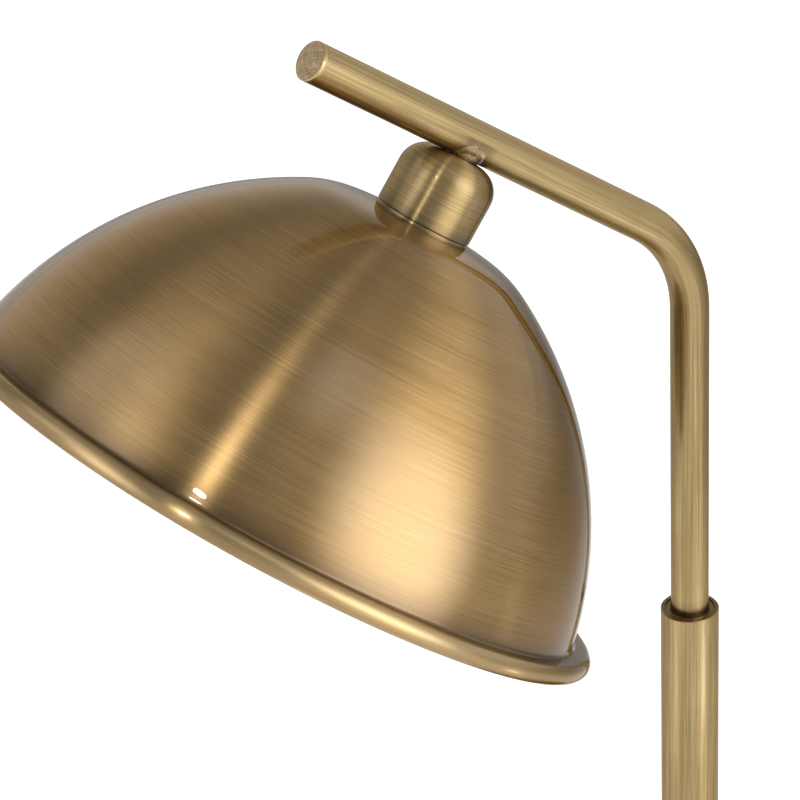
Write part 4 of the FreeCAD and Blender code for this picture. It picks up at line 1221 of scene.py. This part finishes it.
MILKY = {"Subsurface Weight": 0.35, "Subsurface Radius": (0.004, 0.004, 0.003)}
PLAIN = {
    "white_enamel": ((0.84, 0.83, 0.8), (0.9, 0.89, 0.86), 0.0012, 0.00004, 0.38),
    "satin_aluminium": (grey(0.55), grey(0.72), 0.0002, 0.00003, 0.38, 1.0),
    "zinc_steel": ((0.48, 0.49, 0.5), (0.66, 0.67, 0.69), 0.0005, 0.00002, 0.3, 1.0),
    "turned_brass": ((0.5, 0.36, 0.16), (0.66, 0.5, 0.26), 0.0003, 0.00002, 0.28, 1.0),
    "powder_coat": (grey(0.035), grey(0.055), 0.0005, 0.00012, 0.5),
    "cast_iron": ((0.1, 0.1, 0.105), (0.19, 0.19, 0.2), 0.0011, 0.0004, 0.62, 0.8),
    "pad_rubber": (grey(0.022), grey(0.038), 0.0004, 0.0001, 0.85),
    "grommet_rubber": ((0.035, 0.028, 0.024), (0.06, 0.048, 0.042), 0.0003, 0.00005, 0.6),
    "nylon": ((0.74, 0.72, 0.66), (0.84, 0.82, 0.76), 0.0006, 0.00003, 0.45),
    "board_mask": ((0.82, 0.82, 0.8), (0.92, 0.92, 0.9), 0.0008, 0.00002, 0.35),
    "phosphor": ((0.8, 0.6, 0.08), (0.92, 0.76, 0.22), 0.0003, 0.00002, 0.5),
    "cable_sheath": ((0.09, 0.075, 0.065), (0.15, 0.125, 0.11), 0.0006, 0.00004, 0.5),
    "driver_plastic": (grey(0.8), grey(0.88), 0.0003, 0.00005, 0.5),
    "terminal_plastic": (grey(0.07), grey(0.12), 0.0003, 0.00005, 0.5),
    "opal": ((0.9, 0.89, 0.86), (0.95, 0.94, 0.91), 0.0009, 0.00001, 0.34, 0.0, MILKY),
}
plain = {name: plain_finish(name, *numbers) for name, numbers in PLAIN.items()}
enamel, aluminium, zinc = plain["white_enamel"], plain["satin_aluminium"], plain["zinc_steel"]
print("plain finishes:", len(plain))

# %% [markdown]
# ## The lamp inside the shade
# A white liner fills the dome. An aluminium heat sink with 36 fins hangs in it and carries the LED
# board behind an opal plate, which a screwed ring holds. Fins, lights and screws repeat round the
# axis, so Geometry Nodes copy one of them round. Their tree turns each copy by its index.

# %% A ring of copies


def ring_tree():
    """Copies the given mesh round the Z axis."""
    sizes = {"Count": "Int", "Start": "Float", "Finish": "Material"}
    tree, given, output = shape_tree("ring_of_copies", sizes)
    line = {"Count": given["Count"], "Offset": (0.0, 0.0, 0.0)}
    line = add(tree, "GeometryNodeMeshLine", line).outputs[0]
    part = {0: add(tree, "GeometryNodeInputIndex").outputs[0], 1: given["Count"]}
    part = add(tree, "ShaderNodeMath", part, operation="DIVIDE").outputs[0]
    turn = plus(tree, times(tree, part, 2 * math.pi), given["Start"])
    rotation = add(tree, "ShaderNodeCombineXYZ", {"X": 0.0, "Y": 0.0, "Z": turn}).outputs[0]
    copies = {"Points": line, "Instance": given["Geometry"], "Rotation": rotation}
    ring = add(tree, "GeometryNodeInstanceOnPoints", copies).outputs[0]
    return end_tree(tree, ring, given, output)


def round_axis(name, mesh, count, start, material):
    """A mesh copied round the Z axis."""
    values = {"Count": count, "Start": math.radians(start), "Finish": material}
    return grow(name, mesh, ring_tree(), values)


def joined(name, meshes):
    """Several meshes as one."""
    build = bmesh.new()
    for mesh in meshes:
        build.from_mesh(mesh)
    return mesh_of(build, name)


def block(name, outline, low, high):
    """A straight block: an outline of (x, y) points raised from low to high."""
    build = bmesh.new()
    lower = [build.verts.new((x, y, low)) for x, y in outline]
    upper = [build.verts.new((x, y, high)) for x, y in outline]
    build.faces.new(lower[::-1])
    build.faces.new(upper)
    join_rings(build, lower, upper)
    return mesh_of(build, name)


print("ring tree ready")

# %% [markdown]
# The liner follows the dome at a small distance, so it is made from the dome's own arcs. A real
# heat sink is cast in one piece. Here it is a turned core and one straight fin, which is copied
# round.

# %% Liner and heat sink
liner_edge = -(CAP_DROP + SHADE_DEPTH) + BEAD + 0.004
liner_outer = dome_profile(SHEET + LINER_GAP, HOLE, liner_edge)
liner_inner = dome_profile(SHEET + LINER_GAP + LINER, HOLE, liner_edge)
turned(
    "reflector_enamel", liner_outer + liner_inner[::-1], enamel,
    "arm", "white_enamel", "inner_reflector", HEAD, 192,
)

SINK_TOP, SINK_RADIUS = -(CAP_DROP + 0.016), 0.042
SINK_PLATE, SINK_DEPTH, SINK_WALL = 0.006, 0.022, 0.0035
FIN_GAP, FIN_DEPTH, FIN_COUNT = 0.0026, 0.0022, 36
sink_foot = SINK_TOP - SINK_DEPTH
plate_foot = SINK_TOP - SINK_PLATE
sink_core = SINK_RADIUS - FIN_DEPTH
sink_bevel, sink_recess = 0.0015, 0.0105
sink_profile = soften(
    [
        (HOLE, SINK_TOP - 0.002),
        (sink_recess, SINK_TOP - 0.002),
        (sink_recess, plate_foot),
        (SINK_RADIUS - SINK_WALL, plate_foot),
        (SINK_RADIUS - SINK_WALL, sink_foot),
        (SINK_RADIUS, sink_foot),
        (SINK_RADIUS, sink_foot + 0.005),
        (sink_core, sink_foot + 0.005),
        (sink_core, SINK_TOP),
        (HOLE, SINK_TOP),
    ],
    0.0003,
)
fin_half = 180.0 / FIN_COUNT - math.degrees(math.asin(FIN_GAP / 2 / SINK_RADIUS))
fin_root = arc((0.0, 0.0), sink_core - 0.0003, fin_half, -fin_half, 4)
fin_outline = arc((0.0, 0.0), SINK_RADIUS, -fin_half, fin_half, 4) + fin_root
fin = block("fin", fin_outline, sink_foot + 0.0049, SINK_TOP)
for vertex in fin.vertices:
    x, y, z = vertex.co
    if z > SINK_TOP - 1e-6 and math.hypot(x, y) > SINK_RADIUS - 0.0001:
        vertex.co.z -= sink_bevel
fins = round_axis("fins", fin, FIN_COUNT, 0.0, aluminium)
sink_mesh = joined("heat_sink_fins", [lathe("sink_core", sink_profile, segments=144), fins])
sink_mesh.transform(HEAD)
piece_from_mesh("heat_sink_fins", sink_mesh, aluminium, "arm", "sink_aluminium", "heat_sink")

# %% [markdown]
# The LEDs sit on the board in two rings. The plate in front of them is opal plastic, which scatters
# light inside, so its finish has a little subsurface. It bulges slightly, and a screwed ring holds
# its edge.

# %% LED lights, opal plate and its ring
BOARD_FOOT = plate_foot - 0.0016
CHIP, CHIP_THICK = 0.005, 0.0009
lights = []
for circle, count in ((0.024, 12), (0.012, 6)):
    half = CHIP / 2
    outline = [(circle - half, -half), (circle + half, -half)]
    outline += [(circle + half, half), (circle - half, half)]
    chip = block("chip", outline, BOARD_FOOT - CHIP_THICK, BOARD_FOOT)
    lights.append(round_axis("led_ring", chip, count, 0.0, plain["phosphor"]))
light_mesh = joined("led_lights", lights)
light_mesh.transform(HEAD)
piece_from_mesh("led_lights", light_mesh, plain["phosphor"], "arm", "phosphor", "led_chips")

OPAL_RADIUS, OPAL_THICK, OPAL_BULGE = 0.038, 0.0018, 0.0035
dish = OPAL_RADIUS - 0.004
inside = dish - 0.001


def bulge(reach, height):
    """The outline of a shallow bulge, from its pole out to its edge."""
    radius = (reach**2 + OPAL_BULGE**2) / (2 * OPAL_BULGE)
    edge_turn = math.degrees(math.asin(reach / radius))
    return arc((0.0, height - OPAL_BULGE + radius), radius, -90, -90 + edge_turn, 18)


opal_back = sink_foot + OPAL_THICK
opal_profile = bulge(dish, sink_foot) + [(OPAL_RADIUS, sink_foot), (OPAL_RADIUS, opal_back)]
opal_profile += bulge(inside, opal_back)[::-1]
turned(
    "diffuser_opal", opal_profile, plain["opal"], "arm", "opal_plastic", "diffuser",
    HEAD, 144, closed=False,
)

lip, skirt, grip = OPAL_RADIUS - 0.0025, SINK_RADIUS + 0.0001, SINK_RADIUS + 0.0016
retainer_profile = soften(
    [
        (lip, sink_foot - 0.002),
        (grip - 0.001, sink_foot - 0.002),
        (grip, sink_foot - 0.001),
        (grip, sink_foot + 0.004),
        (skirt, sink_foot + 0.004),
        (skirt, sink_foot),
        (lip, sink_foot),
    ],
    0.0004,
)
turned(
    "diffuser_ring_enamel", retainer_profile, enamel, "arm", "white_enamel", "diffuser_ring",
    HEAD, 144,
)

# %% [markdown]
# ## Underside and back
# Four countersunk screws hold the base plate. One screw is turned, its head gets a cross-shaped
# recess, and the ring tree copies it. A rubber grommet lines the hole behind, where the cord goes
# in.

# %% Base screws and cord grommet
SCREW_CIRCLE, SCREW_HEAD, SCREW_SHANK = 0.080, 0.0034, 0.00175
PAD_THICK, PLATE_THICK = 0.0015, 0.0015
screw_profile = [
    (0.0, PAD_THICK),
    (SCREW_HEAD - 0.0001, PAD_THICK),
    (SCREW_HEAD, PAD_THICK + 0.0001),
    (SCREW_SHANK, PAD_THICK + PLATE_THICK),
    (SCREW_SHANK, PAD_THICK + 0.011),
    (0.0, PAD_THICK + 0.0125),
]
RECESS_REACH, RECESS_HALF, RECESS_DEEP = 0.0015, 0.0004, 0.0011
quarter = [(RECESS_REACH, -RECESS_HALF), (RECESS_REACH, RECESS_HALF), (RECESS_HALF, RECESS_HALF)]
cross = []
for turns in range(4):
    cross += quarter
    quarter = [(-y, x) for x, y in quarter]
recess = block("recess", cross, PAD_THICK - 0.0005, PAD_THICK + RECESS_DEEP)
screw = lathe("screw", screw_profile, segments=32, closed=False)
screw = cut_away(screw, [recess])
screw.transform(Matrix.Translation((SCREW_CIRCLE, 0.0, 0.0)))
screws = round_axis("base_screw_set", screw, 4, 45.0, zinc)
piece_from_mesh("base_screw_set", screws, zinc, "stand", "fastener_steel", "base_screws")

grommet_bore, grommet_neck, grommet_flange = 0.0033, 0.005, 0.0064
grommet_profile = soften(
    [
        (grommet_bore, 0.0),
        (grommet_flange - 0.001, 0.0),
        (grommet_flange, 0.0018),
        (grommet_neck, 0.0018),
        (grommet_neck, 0.0033),
        (grommet_flange, 0.0033),
        (grommet_flange, 0.0043),
        (grommet_flange - 0.0012, 0.007),
        (grommet_bore, 0.007),
    ],
    0.0004,
)
grommet_turn = Matrix.Rotation(math.radians(-90), 4, "X")
BEHIND = Matrix.Translation((0.0, BASE_RADIUS - 0.00325, INLET_HEIGHT)) @ grommet_turn
turned(
    "cord_grommet", grommet_profile, plain["grommet_rubber"],
    "stand", "inlet_rubber", "cord_inlet", BEHIND, 64,
)

# %% [markdown]
# The measured pieces that are good as they are keep their meshes and only get a finish. Most are
# hidden inside, but they show when the lamp is opened.

# %% Dress the measured pieces


def dress(finish_name, *names):
    """Gives measured pieces a finish."""
    for name in names:
        for slot in frame["nodes"][name].material_slots:
            slot.material = plain[finish_name]


dress("pad_rubber", "base_pad")
dress("powder_coat", "base_plate")
dress("cast_iron", "base_weight")
dress("turned_brass", "stem_plug", "stem_nipple", "lower_bush", "arm_journal", "spacer")
dress("zinc_steel", "stem_washer", "stem_nut", "stop_screw")
dress("zinc_steel", "lock_washer", "lock_nut", "board_screws")
dress("nylon", "thrust_washer", "crown_washer")
dress("board_mask", "led_board")
dress("cable_sheath", "lamp_wires", "supply_wires", "switch_wires", "input_wires")
dress("driver_plastic", "driver")
dress("terminal_plastic", "terminal_block", "switch_body")
print("measured pieces dressed")

# %% [markdown]
# The push button rests on a coil spring inside the base. The spring stands on the switch and gets
# shorter as the button goes down.

# %% Copy the spring
coil = frame["nodes"]["switch_spring"]
coil_mesh = coil.data.copy()
coil_mesh.transform(coil.matrix_world)
spring = piece_from_mesh(
    "switch_spring_coil", coil_mesh, zinc, "stand", "fastener_steel", "switch_spring"
)
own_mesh(spring)

# %% [markdown]
# ## Floor, world, lights and camera
# The picture has a white ground and soft studio light. The floor and the world are pale, and Light
# Path makes them white where the camera looks, while the floor keeps the lamp's shadow. What the
# metal mirrors is a room of its own: white near the horizon, darker above, and with a floor that is
# darker to the right and a little lighter far away. Seven panels give the light. A small bright one
# makes the sharp glint and the long streak down the dome. Wide ones stand in front, at the left,
# behind and above, and two narrow ones stand low by the stem. The camera stands at the picture's
# angle, with a long lens.

# %% Floor and world


def looks(tree):
    """Two sockets, 1 where the camera looks and 1 where a reflection or glass does."""
    path = add(tree, "ShaderNodeLightPath").outputs
    inputs = {0: path["Is Glossy Ray"], 1: path["Is Transmission Ray"]}
    either = add(tree, "ShaderNodeMath", inputs, operation="MAXIMUM").outputs[0]
    return path["Is Camera Ray"], either


AMBIENT = 0.5
world = bpy.data.worlds.new("studio")
bpy.context.scene.world = world
world.use_nodes = True
world.node_tree.nodes.clear()
sky = world.node_tree
towards = add(sky, "ShaderNodeTexCoord").outputs["Generated"]
height = add(sky, "ShaderNodeSeparateXYZ", {0: towards}).outputs["Z"]
room = between(sky, height, 0.1, 0.55, 1.0, 0.38)
camera_looks, metal_looks = looks(sky)
strength = plus(sky, times(sky, camera_looks, 1.0 - AMBIENT), AMBIENT)
strength = plus(sky, strength, times(sky, metal_looks, plus(sky, room, -AMBIENT)))
background = add(sky, "ShaderNodeBackground", {"Color": WHITE, "Strength": strength})
add(sky, "ShaderNodeOutputWorld", {"Surface": background.outputs[0]})

floor_finish, tree = new_material("pale_floor")
place = add(tree, "ShaderNodeTexCoord").outputs["Object"]
mottle = cloud(tree, stretch(tree, place, (3.0, 3.0, 3.0)), 2.0)
mottle = ramp(tree, mottle, (0.3, 0.7), (grey(0.8), grey(0.83)))
paper = add(tree, "ShaderNodeBsdfDiffuse", {"Color": mottle})
dim_paper = add(tree, "ShaderNodeBsdfDiffuse", {"Color": (*grey(0.2), 1.0)})
to_right = vector_math(tree, "DOT_PRODUCT", place, (1.0, 0.15, 0.0), "Value")
distance = vector_math(tree, "LENGTH", place, result="Value")
camera_looks, metal_looks = looks(tree)
dimmed = times(tree, metal_looks, between(tree, to_right, 0.3, 0.55, 0.0, 0.75))
mixed = {"Fac": dimmed, 1: paper.outputs[0], 2: dim_paper.outputs[0]}
paper = add(tree, "ShaderNodeMixShader", mixed)
near_and_far = times(tree, camera_looks, between(tree, distance, 0.8, 2.2, 0.5, 0.8))
horizon = between(tree, distance, 1.2, 2.6, 0.0, 0.5)
close_by = between(tree, distance, 0.35, 0.95, 0.3, 0.1)
pool = times(tree, metal_looks, plus(tree, close_by, horizon))
glow = {"Color": WHITE, "Strength": plus(tree, near_and_far, pool)}
glow = add(tree, "ShaderNodeEmission", glow)
finish(tree, add(tree, "ShaderNodeAddShader", {0: paper.outputs[0], 1: glow.outputs[0]}))

floor_mesh = bpy.data.meshes.new("floor")
reach = 6.0
floor_corners = [(-reach, -reach, 0), (reach, -reach, 0), (reach, reach, 0), (-reach, reach, 0)]
floor_mesh.from_pydata(floor_corners, [], [(0, 1, 2, 3)])
floor_mesh.materials.append(floor_finish)
floor = bpy.data.objects.new("floor", floor_mesh)
bpy.context.scene.collection.objects.link(floor)
print("floor and world ready")

# %% [markdown]
# Metal shows its surroundings more than its own colour, so each panel stands where the dome or the
# stem mirrors it. A panel that fades towards its edge gives a soft highlight, like a large lamp
# behind cloth. The camera itself doesn't see the panels.

# %% Lights


def direction(azimuth, elevation):
    """A vector of length 1 from two angles in degrees."""
    turn, rise = math.radians(azimuth), math.radians(elevation)
    level = math.cos(rise)
    return Vector((level * math.cos(turn), level * math.sin(turn), math.sin(rise)))


def panel(name, target, seen_at, size, radiance, soft, roll=0.0):
    """A panel that faces a point of the lamp and fades towards its edge where it is soft.
    seen_at is its azimuth, elevation and distance from the point."""
    azimuth, elevation, distance = seen_at
    width, height = size
    data = bpy.data.lights.new(name, "AREA")
    data.shape = "RECTANGLE"
    data.size, data.size_y = width, height
    data.energy = radiance * math.pi * width * height
    data.use_nodes = True
    tree = data.node_tree
    tree.nodes.clear()
    across = add(tree, "ShaderNodeNewGeometry").outputs["Parametric"]
    centred = vector_math(tree, "SUBTRACT", across, (0.5, 0.5, 0.0))
    away = vector_math(tree, "LENGTH", centred, result="Value")
    limits = {"Value": away, "From Min": 0.5 - soft, "From Max": 0.5 + 0.2 * (soft < 0.1)}
    limits |= {"To Min": 1.0, "To Max": 0.0}
    fade = add(tree, "ShaderNodeMapRange", limits, interpolation_type="SMOOTHSTEP")
    glow = {"Color": WHITE, "Strength": fade.outputs["Result"]}
    glow = add(tree, "ShaderNodeEmission", glow)
    add(tree, "ShaderNodeOutputLight", {"Surface": glow.outputs[0]})
    light = bpy.data.objects.new(name, data)
    way_out = direction(azimuth, elevation)
    light.location = Vector(target) + way_out * distance
    facing = way_out.to_track_quat("Z", "Y").to_matrix()
    light.rotation_euler = (facing @ Matrix.Rotation(math.radians(roll), 3, "Z")).to_euler()
    light.visible_camera = False
    bpy.context.scene.collection.objects.link(light)


streak, dome = (-0.2196, -0.0676, 0.404), (-0.13, -0.03, 0.36)
crown, stem_middle = (-0.2, 0.0, 0.42), (0.0, 0.0, 0.2)
panel("streak_panel", streak, (-137.5, 46.8, 1.3), (0.105, 0.028), 390.0, 0.05, -27.0)
panel("front_panel", dome, (-66, 17, 1.5), (1.85, 2.3), 4.8, 0.36)
panel("left_panel", dome, (180, 24, 1.5), (1.1, 2.2), 3.0, 0.45)
panel("back_panel", crown, (148, 52, 1.6), (1.7, 1.7), 1.2, 0.35)
panel("crown_panel", dome, (-55, 60, 1.5), (1.0, 1.1), 1.8, 0.45)
panel("stem_front_panel", stem_middle, (-70, -29, 0.33), (0.12, 0.07), 9.0, 0.45)
panel("stem_left_panel", stem_middle, (180, -29, 0.33), (0.12, 0.07), 5.0, 0.45)
print("panels:", len(bpy.data.lights))

# %% [markdown]
# The camera looks down at the lamp from the front and from the side where the arm reaches. Its
# side, its top and the way behind it are written out, and they are the columns of its matrix.

# %% Camera
camera_data = bpy.data.cameras.new("camera")
camera_data.lens, camera_data.sensor_width = 180.0, 36.0
camera_data.clip_start, camera_data.clip_end = 0.05, 20.0
camera = bpy.data.objects.new("camera", camera_data)
camera_place = Vector((0.0, 0.0, STEM_TOP)) + Vector((-0.67007, -0.95165, 0.74227))
side = Vector((0.85154, -0.52305, -0.03608))
top = Vector((0.28459, 0.40334, 0.86967))
behind = Vector((-0.44033, -0.75082, 0.49232))
camera_turn = Matrix((side, top, behind)).transposed().to_4x4()
camera.matrix_world = Matrix.Translation(camera_place) @ camera_turn
bpy.context.scene.collection.objects.link(camera)
bpy.context.scene.camera = camera
bpy.context.scene.view_settings.view_transform = "Standard"
print("camera at", tuple(round(value, 3) for value in camera.location))
